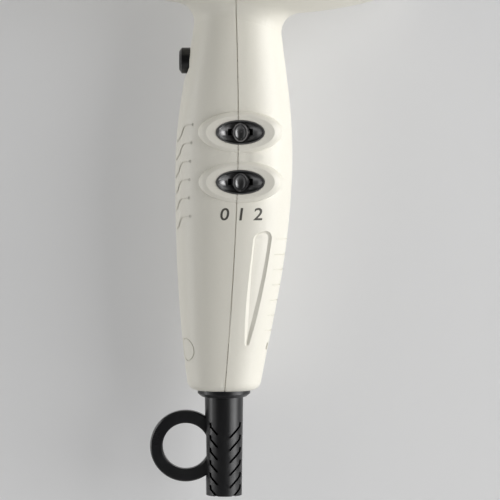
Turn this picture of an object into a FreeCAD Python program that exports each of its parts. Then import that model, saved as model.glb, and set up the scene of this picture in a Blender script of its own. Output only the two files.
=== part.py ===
"""Hand-held salon hair dryer, in millimetres.

The row frame: +Z up, the nozzle points along -X, the switches face -Y, and the
origin is where the barrel's axis meets the plane in which the two housings part.
Each piece of the dryer is one object whose Label is the name of its STEP file.
"""
import FreeCAD, Part
import math
import os
import Sketcher
from FreeCAD import Placement, Rotation, Vector

SIZES = {
    # barrel
    "barrel_radius": 43.6,
    "barrel_front": 92.0,
    "barrel_rear": 62.0,
    "crown_offset": 14.0,
    "front_crown_radius": 150.0,
    "rear_crown_radius": 130.0,
    "cone_angle": 10.0,
    "wall": 2.4,
    "fit_gap": 0.15,
    # handle
    "handle_length": 135.25,
    "neck_half_width": 15.85,
    "neck_half_depth": 14.2,
    "grip_half_width": 20.8,
    "grip_half_depth": 17.4,
    "tail_half_width": 12.9,
    "tail_half_depth": 11.8,
    "handle_lean": 5.1,
    "root_fillet": 7.0,
    "tail_fillet": 3.4,
    "seam_depth": 0.3,
    "seam_width": 0.36,
    "groove_width": 0.3,
    "recess_depth": 0.8,
    # switches
    "first_switch_drop": 42.1,
    "switch_pitch": 17.65,
    "switch_offset": 0.9,
    "pad_half_width": 12.2,
    "pad_half_height": 6.0,
    "pad_skirt": 3.1,
    "pad_rise": 0.9,
    "bezel_half_width": 8.55,
    "bezel_half_height": 4.25,
    "bezel_rim": 0.45,
    "bezel_sink": 1.0,
    "bezel_proud": 0.25,
    "bezel_depth": 5.2,
    "bowl_rim": 0.4,
    "bowl_depth": 3.4,
    "knob_half_width": 2.55,
    "knob_half_height": 3.3,
    "knob_proud": 0.9,
    "knob_travel": 2.8,
    "switch_block_depth": 8.0,
    # cold shot
    "button_drop": 16.8,
    "button_radius": 4.65,
    "button_proud": 3.7,
    "button_travel": 2.0,
    "button_flange": 0.9,
    # air end
    "collar_length": 13.0,
    "collar_radius": 24.6,
    "collar_wall": 2.2,
    "nozzle_length": 49.0,
    "nozzle_wall": 2.0,
    "slot_half_width": 29.0,
    "slot_half_height": 5.0,
    # rear end
    "cap_length": 11.0,
    "cap_wall": 2.2,
    # motor and fan
    "stator_radius": 25.0,
    "stator_length": 22.0,
    "armature_radius": 13.0,
    "shaft_radius": 2.0,
    "bearing_radius": 5.0,
    "duct_radius": 31.5,
    "duct_wall": 1.5,
    "fan_gap": 0.5,
    "running_gap": 0.05,
    # heater
    "board_thickness": 0.8,
    "coil_radius": 1.4,
    # cord end
    "sleeve_length": 38.2,
    "sleeve_radius": 6.85,
    "cord_bore": 3.9,
    "cuff_radius": 9.5,
    "ring_radius": 12.87,
    "ring_bore": 8.33,
    "ring_thickness": 4.2,
    "ring_drop": 20.4,
    "ring_offset": 13.8,
    "screw_head_radius": 1.3,
    "screw_shank_radius": 0.9,
    "boss_radius": 3.0,
}

doc = FreeCAD.newDocument("hair_dryer")
sheet = doc.addObject("Spreadsheet::Sheet", "sizes")
for row, (alias, number) in enumerate(SIZES.items(), start=1):
    sheet.set("A%d" % row, alias.replace("_", " "))
    sheet.set("B%d" % row, str(number))
    sheet.setAlias("B%d" % row, alias)
doc.recompute()

PIECES = []


class Size:
    """A length that carries its number and the sheet formula that gives it."""

    def __init__(self, number, formula=None):
        self.number = float(number)
        self.formula = formula or "(%.6f)" % number

    def joined(self, other, sign, number):
        return Size(number, "(%s %s %s)" % (self.formula, sign, as_size(other).formula))

    def __add__(self, other):
        return self.joined(other, "+", self.number + float(other))

    def __sub__(self, other):
        return self.joined(other, "-", self.number - float(other))

    def __mul__(self, other):
        return self.joined(other, "*", self.number * float(other))

    def __truediv__(self, other):
        return self.joined(other, "/", self.number / float(other))

    def __radd__(self, other):
        return as_size(other) + self

    def __rsub__(self, other):
        return as_size(other) - self

    def __rmul__(self, other):
        return as_size(other) * self

    def __neg__(self):
        return as_size(0) - self

    def __float__(self):
        return self.number


def as_size(value):
    return value if isinstance(value, Size) else Size(value)


def root_of(size):
    return Size(math.sqrt(size.number), "sqrt(%s)" % size.formula)


def turn(function, name, angle):
    """The sine, cosine or tangent of an angle size that is in degrees."""
    return Size(function(math.radians(angle.number)), "%s(%s * 1 deg)" % (name, angle.formula))


class Sheet:
    """Each alias of the sheet as a Size."""

    def __getattr__(self, alias):
        return Size(SIZES[alias], "sizes." + alias)


S = Sheet()

# ---------------------------------------------------------------- places

UNDERSIDE = -S.barrel_radius
HANDLE_END = UNDERSIDE - S.handle_length
FIRST_SWITCH = UNDERSIDE - S.first_switch_drop
SECOND_SWITCH = FIRST_SWITCH - S.switch_pitch
BUTTON_Z = UNDERSIDE - S.button_drop
PAD_FACE = S.grip_half_depth + S.pad_rise
TAIL_X = -S.handle_lean

SINE = turn(math.sin, "sin", S.cone_angle)
COSINE = turn(math.cos, "cos", S.cone_angle)
TANGENT = turn(math.tan, "tan", S.cone_angle)


def rear_radius(along, inset):
    """Radius of the rear half of the barrel, inset from its outer surface."""
    arc = S.rear_crown_radius - inset
    reach = along - S.crown_offset
    return S.barrel_radius - inset - (arc - root_of(arc * arc - reach * reach))


def cone_radius(along, inset):
    """Radius of the straight front cone of the barrel, inset from its outer surface."""
    arc = S.front_crown_radius - inset
    start_x = S.crown_offset - arc * SINE
    start_r = S.barrel_radius - inset - arc * (1 - COSINE)
    return start_r - (start_x - along) * TANGENT


# ---------------------------------------------------------------- helpers


def bind(thing, name, size):
    """Sets one size of an object and ties it to the sheet."""
    size = as_size(size)
    if "." not in name:
        setattr(thing, name, size.number)
    if "sizes." in size.formula:
        thing.setExpression(name, size.formula)
    return thing


TURNS = {
    "Z": Rotation(),
    "X": Rotation(Vector(0, 1, 0), 90),
    "Y": Rotation(Vector(1, 0, 0), -90),
}


def place(thing, x=0, y=0, z=0, rotation=None):
    at = [as_size(value) for value in (x, y, z)]
    turned_by = rotation or thing.Placement.Rotation
    thing.Placement = Placement(Vector(*[value.number for value in at]), turned_by)
    for letter, value in zip("xyz", at):
        bind(thing, "Placement.Base." + letter, value)
    return thing


def cylinder(name, radius, height, x=0, y=0, z=0, axis="Z"):
    thing = doc.addObject("Part::Cylinder", name)
    bind(thing, "Radius", radius)
    bind(thing, "Height", height)
    return place(thing, x, y, z, TURNS[axis])


def box(name, size, low):
    thing = doc.addObject("Part::Box", name)
    for side, value in zip(("Length", "Width", "Height"), size):
        bind(thing, side, value)
    return place(thing, *low)


def centred_box(name, size, centre):
    low = [as_size(c) - as_size(s) / 2 for c, s in zip(centre, size)]
    return box(name, size, low)


def cut(name, base, *tools):
    thing = doc.addObject("Part::Cut", name)
    thing.Base = base
    thing.Tool = tools[0] if len(tools) == 1 else fuse(name + "_tools", *tools)
    return thing


def fuse(name, *shapes):
    thing = doc.addObject("Part::MultiFuse", name)
    thing.Shapes = list(shapes)
    return thing


def common(name, *shapes):
    thing = doc.addObject("Part::MultiCommon", name)
    thing.Shapes = list(shapes)
    return thing


def group(name, *shapes):
    """Separate solids that share one node."""
    thing = doc.addObject("Part::Compound", name)
    thing.Links = list(shapes)
    return thing


def rounded(name, base, radius, wanted):
    """Fillets the edges of base whose bounding box passes the test."""
    doc.recompute()
    thing = doc.addObject("Part::Fillet", name)
    thing.Base = base
    numbers = [i for i, e in enumerate(base.Shape.Edges, start=1) if wanted(e.BoundBox)]
    radius = float(radius)
    thing.Edges = [(i, radius, radius) for i in numbers]
    return thing


def feature(name, shape):
    thing = doc.addObject("Part::Feature", name)
    thing.Shape = shape
    return thing


def keep(label, thing):
    thing.Label = label
    PIECES.append(thing)
    return thing


def pin_corner(sketch, edge, point, across, up):
    """Fixes one end of a sketch edge at (across, up)."""
    for kind, value, line in (("DistanceX", across, -2), ("DistanceY", up, -1)):
        value = as_size(value)
        if value.number == 0:
            sketch.addConstraint(Sketcher.Constraint("PointOnObject", edge, point, line))
            continue
        number = sketch.addConstraint(Sketcher.Constraint(kind, edge, point, value.number))
        if "sizes." in value.formula:
            sketch.setExpression("Constraints[%d]" % number, value.formula)


def outline_sketch(body, name, plane, corners):
    """A closed sketch. A corner is (across, up), or (across, up, radius) where an arc
    of that radius leads to it; a negative radius curves the other way."""
    sketch = body.newObject("Sketcher::SketchObject", name)
    origin = [f for f in body.Origin.OriginFeatures if f.Role == plane][0]
    sketch.AttachmentSupport = (origin, [""])
    sketch.MapMode = "FlatFace"
    points = [Vector(float(c[0]), float(c[1]), 0) for c in corners]
    starts = []
    for i, corner in enumerate(corners):
        before, here = points[i - 1], points[i]
        if len(corner) == 2:
            sketch.addGeometry(Part.LineSegment(before, here), False)
            starts.append((1, 2))
            continue
        radius = float(corner[2])
        chord = here - before
        lift = math.sqrt(radius * radius - chord.Length**2 / 4) / chord.Length
        side = 1 if radius > 0 else -1
        centre = (before + here) * 0.5 + Vector(-chord.y, chord.x, 0) * lift * side
        first, last = (before, here) if side > 0 else (here, before)
        a0 = math.atan2(first.y - centre.y, first.x - centre.x)
        a1 = math.atan2(last.y - centre.y, last.x - centre.x)
        circle = Part.Circle(centre, Vector(0, 0, 1), abs(radius))
        sketch.addGeometry(Part.ArcOfCircle(circle, a0, a1), False)
        number = sketch.addConstraint(Sketcher.Constraint("Radius", i, abs(radius)))
        if "sizes." in as_size(corner[2]).formula:
            formula = as_size(corner[2]).formula
            sketch.setExpression("Constraints[%d]" % number, "abs(%s)" % formula)
        starts.append((1, 2) if side > 0 else (2, 1))
    count = len(corners)
    for i in range(count):
        after = (i + 1) % count
        sketch.addConstraint(
            Sketcher.Constraint("Coincident", i, starts[i][1], after, starts[after][0])
        )
        pin_corner(sketch, i, starts[i][1], corners[i][0], corners[i][1])
    return sketch


def turned(name, corners, axis="X"):
    """A PartDesign body of revolution. Corners are (along, radius) about X, and
    (radius, along) about Z."""
    body = doc.addObject("PartDesign::Body", name)
    plane = {"X": "XY_Plane", "Z": "XZ_Plane"}[axis]
    sketch = outline_sketch(body, name + "_outline", plane, corners)
    spin = body.newObject("PartDesign::Revolution", name + "_revolution")
    spin.Profile = sketch
    spin.ReferenceAxis = (sketch, [{"X": "H_Axis", "Z": "V_Axis"}[axis]])
    spin.Angle = 360
    sketch.Visibility = False
    return body


def ring_of(name, inner, outer, start, end):
    """A turned ring about X."""
    return turned(name, [(start, inner), (end, inner), (end, outer), (start, outer)])


def around_x(name, base, count, first=0.0):
    """count copies of base, evenly turned about the X axis, as a list."""
    copies = []
    for i in range(count):
        link = doc.addObject("Part::Compound", "%s_%d" % (name, i))
        link.Links = [base]
        angle = first + 360.0 * i / count
        link.Placement = Placement(Vector(), Rotation(Vector(1, 0, 0), angle))
        copies.append(link)
    return copies


def oval_edge(name, half_x, half_z, y, x=0, z=0):
    """An ellipse across Y. The longer half has to be the first of its two radii."""
    half_x, half_z = as_size(half_x), as_size(half_z)
    wide = half_x.number >= half_z.number
    ellipse = doc.addObject("Part::Ellipse", name)
    bind(ellipse, "MajorRadius", half_x if wide else half_z)
    bind(ellipse, "MinorRadius", half_z if wide else half_x)
    upright = Rotation(Vector(1, 0, 0), 90)
    spin = Rotation(Vector(0, 1, 0), 0 if wide else 90)
    return place(ellipse, x, y, z, spin.multiply(upright))


def oval(name, half_x, half_z, y_from, y_to, x=0, z=0):
    """An elliptical prism along Y, from y_from towards y_to."""
    y_from, y_to = as_size(y_from), as_size(y_to)
    sign = 1 if y_to.number > y_from.number else -1
    thing = doc.addObject("Part::Extrusion", name)
    thing.Base = oval_edge(name + "_edge", half_x, half_z, y_from, x, z)
    thing.DirMode = "Custom"
    thing.Dir = Vector(0, sign, 0)
    bind(thing, "LengthFwd", (y_to - y_from) * sign)
    thing.Solid = True
    return thing


# ---------------------------------------------------------------- housings


def barrel_solid(inset, open_ends=0.0):
    """The barrel as a solid, inset from its outer surface; open_ends runs it on."""
    crown = Vector(float(S.crown_offset), 0, float(S.barrel_radius) - inset)
    front_arc = float(S.front_crown_radius) - inset
    rear_arc = float(S.rear_crown_radius) - inset
    front_x, rear_x = -float(S.barrel_front), float(S.barrel_rear)
    joint_x = crown.x - front_arc * float(SINE)
    joint = Vector(joint_x, 0, crown.z - front_arc * (1 - float(COSINE)))
    front = Vector(front_x, 0, float(cone_radius(front_x, inset)))
    rear = Vector(rear_x, 0, float(rear_radius(rear_x, inset)))
    mid_angle = math.radians(float(S.cone_angle) / 2)
    front_mid = crown + Vector(
        -front_arc * math.sin(mid_angle), 0, -front_arc * (1 - math.cos(mid_angle))
    )
    half = (rear_x - crown.x) / 2
    rear_mid = crown + Vector(half, 0, -(rear_arc - math.sqrt(rear_arc**2 - half**2)))
    front_end = front - Vector(open_ends, 0, 0)
    rear_end = rear + Vector(open_ends, 0, 0)
    edges = [
        Part.LineSegment(Vector(front_end.x, 0, 0), front_end).toShape(),
        Part.LineSegment(front, joint).toShape(),
        Part.Arc(joint, front_mid, crown).toShape(),
        Part.Arc(crown, rear_mid, rear).toShape(),
        Part.LineSegment(rear_end, Vector(rear_end.x, 0, 0)).toShape(),
        Part.LineSegment(Vector(rear_end.x, 0, 0), Vector(front_end.x, 0, 0)).toShape(),
    ]
    if open_ends:
        edges.insert(1, Part.LineSegment(front_end, front).toShape())
        edges.insert(5, Part.LineSegment(rear, rear_end).toShape())
    return Part.Face(Part.Wire(edges)).revolve(Vector(), Vector(1, 0, 0), 360)


def handle_sections():
    """Sections down the handle: (share of its length, half width, half depth, centre x)."""
    neck = (float(S.neck_half_width), float(S.neck_half_depth))
    grip = (float(S.grip_half_width), float(S.grip_half_depth))
    tail = (float(S.tail_half_width), float(S.tail_half_depth))
    lean = float(S.handle_lean)

    def between(low, high, share):
        return [a + (b - a) * share for a, b in zip(low, high)]

    return [
        (-0.12, *neck, -0.05 * lean),
        (0.05, *neck, -0.06 * lean),
        (0.24, *between(neck, grip, 0.77), -0.20 * lean),
        (0.48, *grip, -0.34 * lean),
        (0.72, *between(grip, tail, 0.31), -0.63 * lean),
        (0.92, *between(grip, tail, 0.79), -0.93 * lean),
        (1.00, *tail, -lean),
    ]


SQUARENESS = 2.3
SECTION_POINTS = 24


def section_wire(height, half_width, half_depth, centre, power=SQUARENESS):
    """One rounded-oval section of the handle as a closed spline."""
    points = []
    for i in range(SECTION_POINTS):
        angle = 2 * math.pi * i / SECTION_POINTS
        c, s = math.cos(angle), math.sin(angle)
        x = centre + half_width * math.copysign(abs(c) ** (2 / power), c)
        y = half_depth * math.copysign(abs(s) ** (2 / power), s)
        points.append(Vector(x, y, height))
    spline = Part.BSplineCurve()
    spline.interpolate(points, PeriodicFlag=True)
    return Part.Wire([spline.toShape()])


def handle_solid(inset, floor=0.0):
    """The handle as a solid, inset from its outer surface; floor lifts its lower end."""
    length, top = float(S.handle_length), float(UNDERSIDE)
    wires = []
    for share, half_width, half_depth, centre in handle_sections():
        height = top - share * length + (floor if share == 1.0 else 0.0)
        wires.append(section_wire(height, half_width - inset, half_depth - inset, centre))
    return Part.makeLoft(wires, True, False)


def smooth_outer(inset):
    """Barrel and handle run together with the fillet at the handle's root."""
    body = barrel_solid(inset).fuse(handle_solid(inset, inset))
    deepest = float(UNDERSIDE) - 3
    root = [
        e
        for e in body.Edges
        if type(e.Curve).__name__ == "BSplineCurve" and e.BoundBox.ZMin > deepest
    ]
    body = body.makeFillet(float(S.root_fillet) + inset, root)
    end = float(HANDLE_END) + inset
    tail = [e for e in body.Edges if e.BoundBox.ZMax < end + 0.5]
    return body.makeFillet(float(S.tail_fillet) - inset, tail)


def flat_oval(half_x, half_z, y, z):
    """An ellipse across Y, centred on the switches, as a wire."""
    edge = Part.Ellipse(Vector(), half_x, half_z).toShape()
    edge.Placement = Placement(Vector(float(S.switch_offset), y, z), Rotation(Vector(1, 0, 0), 90))
    return Part.Wire([edge])


PAD_PROFILE = [
    (0.0, 0.0, 0.0),
    (0.3, 0.17, 0.19),
    (0.6, 0.33, 0.34),
    (1.0, 0.5, 0.45),
    (1.9, 0.72, 0.5),
    (3.7, 0.9, 0.53),
    (6.2, 0.96, 0.55),
    (9.0, 1.0, 0.56),
]


def switch_pad(height):
    """The raised oval platform that carries one switch: a flat top and a skirt that
    falls away, first steeply and then gently, into the side of the handle."""
    skirt = float(S.pad_skirt)
    wires = []
    for depth, grow_x, grow_z in PAD_PROFILE:
        half_x = float(S.pad_half_width) + skirt * grow_x
        half_z = float(S.pad_half_height) + skirt * grow_z
        wires.append(flat_oval(half_x, half_z, depth - float(PAD_FACE), height))
    return Part.makeLoft(wires, True, True)


def over_pad(height):
    """The space over a switch platform, down to the seam's depth below its surface."""
    face = float(PAD_FACE) - float(S.seam_depth)
    side = []
    for depth, _, grow_z in PAD_PROFILE[:4]:
        side.append((depth - face, float(S.pad_half_height) + float(S.pad_skirt) * grow_z))
    side.append((-face - 5, side[-1][1]))
    outline = [Vector(-6, y, height + z) for y, z in side]
    outline += [Vector(-6, y, height - z) for y, z in reversed(side)]
    return Part.Face(Part.makePolygon(outline + outline[:1])).extrude(Vector(12, 0, 0))


def seam_points():
    """The parting line seen from the side, from the top of the barrel to the cord."""
    top, length = float(UNDERSIDE), float(S.handle_length)
    lean = float(S.handle_lean)
    run = [(0.0, -0.12), (0.22, 0.02), (0.40, 0.0), (0.60, -0.2), (0.80, -0.52), (1.0, -0.93)]
    return [Vector(share * lean, 0, top - drop * length) for drop, share in run]


def seam_curve(offset):
    spline = Part.BSplineCurve()
    spline.interpolate([p + Vector(offset, 0, 0) for p in seam_points()])
    return spline.toShape()


def slab_between(left, right, depth=120.0):
    """The space between the seam shifted by left and by right, through the whole body."""
    first, second = seam_curve(left), seam_curve(right)
    a0, a1 = first.Vertexes[0].Point, first.Vertexes[-1].Point
    b0, b1 = second.Vertexes[0].Point, second.Vertexes[-1].Point
    up, down = Vector(0, 0, 120), Vector(0, 0, -60)
    corners = [a1, a1 + down, b1 + down, b1]
    tops = [b0, b0 + up, a0 + up, a0]
    edges = [first]
    edges += [Part.LineSegment(p, q).toShape() for p, q in zip(corners, corners[1:])]
    edges.append(second)
    edges += [Part.LineSegment(p, q).toShape() for p, q in zip(tops, tops[1:])]
    face = Part.Face(Part.Wire(Part.__sortEdges__(edges)))
    face.translate(Vector(0, -depth / 2, 0))
    return face.extrude(Vector(0, depth, 0))


def band(points, width):
    """A strip of the given width along a line seen from the side, run through the body."""
    shapes = []
    for p, q in zip(points, points[1:]):
        along = (q - p).normalize()
        side = Vector(-along.z, 0, along.x) * (width / 2)
        corners = [p + side, q + side, q - side, p - side, p + side]
        shapes.append(Part.Face(Part.makePolygon(corners)))
        shapes.append(Part.Face(Part.Wire(Part.makeCircle(width / 2, q, Vector(0, 1, 0)))))
    flat = shapes[0].multiFuse(shapes[1:])
    reach = 60.0
    solids = []
    for face in flat.Faces:
        face.translate(Vector(0, -reach / 2, 0))
        solids.append(face.extrude(Vector(0, reach, 0)))
    return solids[0].multiFuse(solids[1:]) if len(solids) > 1 else solids[0]


def side_x(share, front):
    """Where the handle's outline lies, seen from the side, at a share of its length."""
    rows = handle_sections()
    for low, high in zip(rows, rows[1:]):
        if low[0] <= share <= high[0]:
            part = (share - low[0]) / (high[0] - low[0])
            width = low[1] + (high[1] - low[1]) * part
            centre = low[3] + (high[3] - low[3]) * part
            return centre - width if front else centre + width


def front_grooves():
    """Six finger grooves that start at a dimple on each side and sweep down the front."""
    top, length = float(UNDERSIDE), float(S.handle_length)
    width = float(S.groove_width)
    grooves = []
    for i in range(6):
        share = 0.2915 + 0.04826 * i
        height = top - share * length
        edge = side_x(share, True)
        start = Vector(edge + 4.95 + 0.05 * (i - 2) ** 2, 0, height)
        points = [
            start,
            Vector(start.x - 1.5, 0, height - 0.2),
            Vector(start.x - 2.7, 0, height - 0.55),
            Vector(start.x - 3.3, 0, height - 1.2),
            Vector(start.x - 3.8, 0, height - 2.4),
            Vector(start.x - 4.2, 0, height - 4.0),
            Vector(edge - 0.5, 0, height - 6.2),
        ]
        grooves.append(band(points, width))
        dimple = Part.makeCylinder(0.5, 60, start - Vector(0, 30, 0), Vector(0, 1, 0))
        grooves.append(dimple)
    return grooves


def rear_grooves():
    """Seven short level grooves round the back of the handle."""
    top, length = float(UNDERSIDE), float(S.handle_length)
    grooves = []
    for i in range(7):
        share = 0.594 + 0.04064 * i
        height = top - share * length
        edge = side_x(share, False)
        line = [Vector(edge - 3.9 + 0.25 * i, 0, height), Vector(edge + 2, 0, height - 0.3)]
        grooves.append(band(line, float(S.groove_width)))
    return grooves


def tapered_recess():
    """The long tapered thumb recess on the near side, as a tool with sloping walls that
    stands square to the handle's surface."""
    top, length = float(UNDERSIDE), float(S.handle_length)
    high, low = top - 0.58 * length, top - 0.885 * length
    half_depth = (float(S.grip_half_depth) + float(S.tail_half_depth)) / 2
    middle = Vector(6.15, -0.905 * half_depth, (high + low) / 2)
    half_long = (high - low) / 2
    corners = [
        Vector(1.9, half_long - 2.1, 0),
        Vector(3.7, half_long - 1.7, 0),
        Vector(-2.95, -half_long + 2.0, 0),
        Vector(-3.05, -half_long + 2.0, 0),
    ]
    core = Part.makePolygon(corners + corners[:1])
    wires = []
    for share, grow in ((-1.4, 3.1), (0.0, 1.9), (0.35, 1.2), (0.7, 0.6), (1.2, 0.1)):
        ring = core.makeOffset2D(grow)
        ring.translate(Vector(0, 0, -share * float(S.recess_depth)))
        wires.append(ring)
    tool = Part.makeLoft(wires, True, False)
    upright = Rotation(Vector(1, 0, 0), 90)
    across = Rotation(Vector(0, 0, 1), 22)
    along = Rotation(Vector(1, 0, 0), 4.7)
    tool.Placement = Placement(middle, along.multiply(across.multiply(upright)))
    return tool


def badge_ring():
    """A plain round ring, engraved low on the front of the near side."""
    share = 0.8887
    centre, half_x, half_y = 0.0, 0.0, 0.0
    rows = handle_sections()
    for low, high in zip(rows, rows[1:]):
        if low[0] <= share <= high[0]:
            part = (share - low[0]) / (high[0] - low[0])
            half_x, half_y, centre = [a + (b - a) * part for a, b in zip(low[1:], high[1:])]
    tilt = math.radians(61)
    outward = Vector(-math.sin(tilt), -math.cos(tilt), 0)
    z = float(UNDERSIDE) - share * float(S.handle_length)
    at = Vector(centre - 0.905 * half_x, -0.504 * half_y, z)
    ring = Part.makeCylinder(4.2, 10, at - outward * 5, outward)
    middle = Part.makeCylinder(3.8, 10, at - outward * 5, outward)
    return ring.cut(middle)


SCREWS = [(0.21, 8.5), (0.62, 8.5), (0.881, -4.2)]


def screw_places():
    """(centre y, z) of the housing screws, which lie along X."""
    top, length = float(UNDERSIDE), float(S.handle_length)
    return [(y, top - share * length) for share, y in SCREWS]


SCREW_HEAD_X = 6.0
SCREW_TIP_X = -9.5


def bosses(cavity):
    """Posts for the housing screws, from wall to wall across the handle."""
    radius = float(S.boss_radius)
    posts = []
    for y, z in screw_places():
        post = Part.makeCylinder(radius, 80, Vector(-40, y, z), Vector(1, 0, 0))
        posts.append(post.common(cavity))
    return posts


def seat_ring(inner, start, end, inset):
    """An annular rib inside the barrel, reaching a little way into its wall."""
    tube = barrel_solid(inset, 5).common(
        Part.makeCylinder(100, end - start, Vector(start, 0, 0), Vector(1, 0, 0))
    )
    hole = Part.makeCylinder(inner, end - start, Vector(start, 0, 0), Vector(1, 0, 0))
    return tube.cut(hole)


DUCT_FRONT = as_size(20.0)
DUCT_REAR = S.barrel_rear - 6.0
SLEEVE_FRONT = -(S.barrel_front - 10.0)


def housing_shell():
    """Both housings as one shell, before it is parted along the seam."""
    wall = float(S.wall)
    outer = smooth_outer(0)
    skin = smooth_outer(float(S.seam_depth))
    cavity = barrel_solid(wall, 5).fuse(handle_solid(wall, 3.0 - wall))
    heights = [float(FIRST_SWITCH), float(SECOND_SWITCH)]
    pads = [switch_pad(z) for z in heights]
    seam = slab_between(-float(S.seam_width) / 2, float(S.seam_width) / 2)
    lines = seam.multiFuse([badge_ring()] + front_grooves() + rear_grooves())
    marks = lines.common(outer).cut(skin)
    deep = smooth_outer(float(S.recess_depth))
    recess = tapered_recess().common(outer).cut(deep)
    shell = outer.cut([marks, recess]).multiFuse(pads)
    pad_marks = [seam.common(over_pad(z)) for z in heights]
    shell = shell.cut([cavity] + pad_marks)
    posts = bosses(cavity)
    inset, rear, front = wall - 0.4, float(DUCT_REAR), float(SLEEVE_FRONT)
    rear_seat = seat_ring(float(S.duct_radius) - 0.5, rear + 0.2, rear + 1.7, inset)
    stop_radius = float(cone_radius(SLEEVE_FRONT, S.wall)) - 3.0
    front_stop = seat_ring(stop_radius, front - 1.7, front - 0.2, inset)
    flange = float(DUCT_FRONT)
    flange_radius = float(S.duct_radius + S.duct_wall) + 1.0
    flange_seat = seat_ring(flange_radius, flange + 2.2, flange + 3.8, inset)
    shell = shell.multiFuse(posts + [rear_seat, front_stop, flange_seat])
    return shell.cut(apertures())


def apertures():
    """Everything that passes through the shell: switches, button, cord and screws."""
    face, gap = float(PAD_FACE), float(S.fit_gap)
    tools = []
    for z in (float(FIRST_SWITCH), float(SECOND_SWITCH)):
        for grow, depth in ((0.0, float(S.bezel_sink)), (-float(S.bezel_rim), 12.0)):
            half_x = float(S.bezel_half_width) + grow + gap
            half_z = float(S.bezel_half_height) + grow + gap
            hole = Part.Face(flat_oval(half_x, half_z, -face + depth, z))
            tools.append(hole.extrude(Vector(0, -depth - 3, 0)))
    front = Vector(-60, 0, float(BUTTON_Z))
    spot = float(BUTTON_FACE) + 60
    tools.append(Part.makeCylinder(float(S.button_radius) + gap, 55, front, Vector(1, 0, 0)))
    recess = Part.makeCylinder(float(S.button_radius) + 2.0, spot, front, Vector(1, 0, 0))
    tools.append(recess)
    flange = float(S.button_radius + S.button_flange) + 0.3
    behind = Vector(float(BUTTON_FACE + S.wall) + 0.05, 0, float(BUTTON_Z))
    tools.append(Part.makeCylinder(flange, 8, behind, Vector(1, 0, 0)))
    tail = Vector(float(TAIL_X), 0, float(HANDLE_END) - 1)
    tools.append(Part.makeCylinder(float(NECK_RADIUS) + 0.05, 12, tail))
    for y, z in screw_places():
        along = Vector(1, 0, 0)
        head = float(S.screw_head_radius) + 0.1
        shank = float(S.screw_shank_radius)
        tools.append(Part.makeCylinder(head, 40, Vector(SCREW_HEAD_X, y, z), along))
        tools.append(Part.makeCylinder(shank + 0.05, 20, Vector(SCREW_TIP_X, y, z), along))
    return tools


BUTTON_FACE = TAIL_X * 0.14 - S.neck_half_width - 0.8
NECK_RADIUS = S.cuff_radius - 2.6


def housings():
    shell = housing_shell()
    clearance = 0.03
    front = shell.cut(slab_between(-clearance, 150.0, 140.0))
    rear = shell.cut(slab_between(-150.0, clearance, 140.0))
    keep("front_housing", feature("front_housing", biggest(front)))
    keep("rear_housing", feature("rear_housing", biggest(rear)))


def biggest(shape):
    """The largest solid of a shape, without the slivers that a cut can leave."""
    return max(shape.Solids, key=lambda solid: solid.Volume)


# ---------------------------------------------------------------- air outlet


def outlet():
    front = -S.barrel_front
    radius, inner = S.collar_radius, S.collar_radius - S.collar_wall
    tip = front - S.collar_length
    opening = cone_radius(front, S.wall)
    lip = cone_radius(front, 0) - 0.3
    seat = opening - S.fit_gap
    corners = [
        (tip + 0.8, inner),
        (front + 8, inner),
        (front + 8, seat),
        (front - 0.05, seat),
        (front - 0.05, lip),
        (front - 1.6, lip - 0.4),
        (front - 1.6, radius),
        (tip + 0.6, radius),
        (tip, radius - 0.6),
        (tip, inner + 0.8),
    ]
    keep("outlet_collar", turned("outlet_collar", corners))
    grille_x = front + 2
    rings = [ring_of("grille_rim", inner - 1.0, inner - 0.02, grille_x, grille_x + 2)]
    for i, share in enumerate((0.30, 0.55, 0.78)):
        middle = inner * share
        rings.append(
            ring_of("grille_ring_%d" % i, middle - 0.5, middle + 0.5, grille_x, grille_x + 1.6)
        )
    rings.append(cylinder("grille_hub", 2.6, 1.8, grille_x, axis="X"))
    spoke = box("grille_spoke", (1.4, 1.0, inner - 2.5), (grille_x + 0.1, -0.5, 1.8))
    rings += around_x("grille_spoke_copy", spoke, 6)
    keep("outlet_grille", fuse("outlet_grille", *rings))


def nozzle():
    """The push-on concentrator, which turns on the collar."""
    start = -float(S.barrel_front) - 2.0
    end = -float(S.barrel_front) - float(S.nozzle_length)
    seat_end = -float(S.barrel_front) - float(S.collar_length) - 0.6
    wall = float(S.nozzle_wall)
    bore = float(S.collar_radius + S.fit_gap)
    outside = bore + wall

    def air_way(inset, steps):
        """The run from a circle at the seat to a flat slot at the mouth."""
        rim = outside - 0.35 - inset
        wide, high = float(S.slot_half_width) - inset, float(S.slot_half_height) - inset
        wires = []
        for i in range(steps + 1):
            share = min(i / 5, 1.0)
            blend = share * share * (3 - 2 * share)
            x = seat_end + (end - seat_end) * i / 5
            half_y = rim + (wide - rim) * blend
            half_z = rim + (high - rim) * blend
            wires.append(lying_section(x, half_y, half_z, 2.0 + 2.0 * blend))
        return Part.makeLoft(wires, True, False)

    def tube(radius, low, high):
        return Part.makeCylinder(radius, high - low, Vector(low, 0, 0), Vector(1, 0, 0))

    outer = tube(outside, seat_end - 0.5, start).fuse(air_way(0, 5))
    shape = outer.cut([air_way(wall, 6), tube(bore, seat_end, start + 1)])
    for i in range(3):
        middle = start - 2.6 - 2.2 * i
        grip = Part.makeTorus(outside + 0.25, 0.6, Vector(middle, 0, 0), Vector(1, 0, 0))
        shape = shape.cut(grip)
    keep("concentrator_nozzle", feature("concentrator_nozzle", biggest(shape)))


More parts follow.
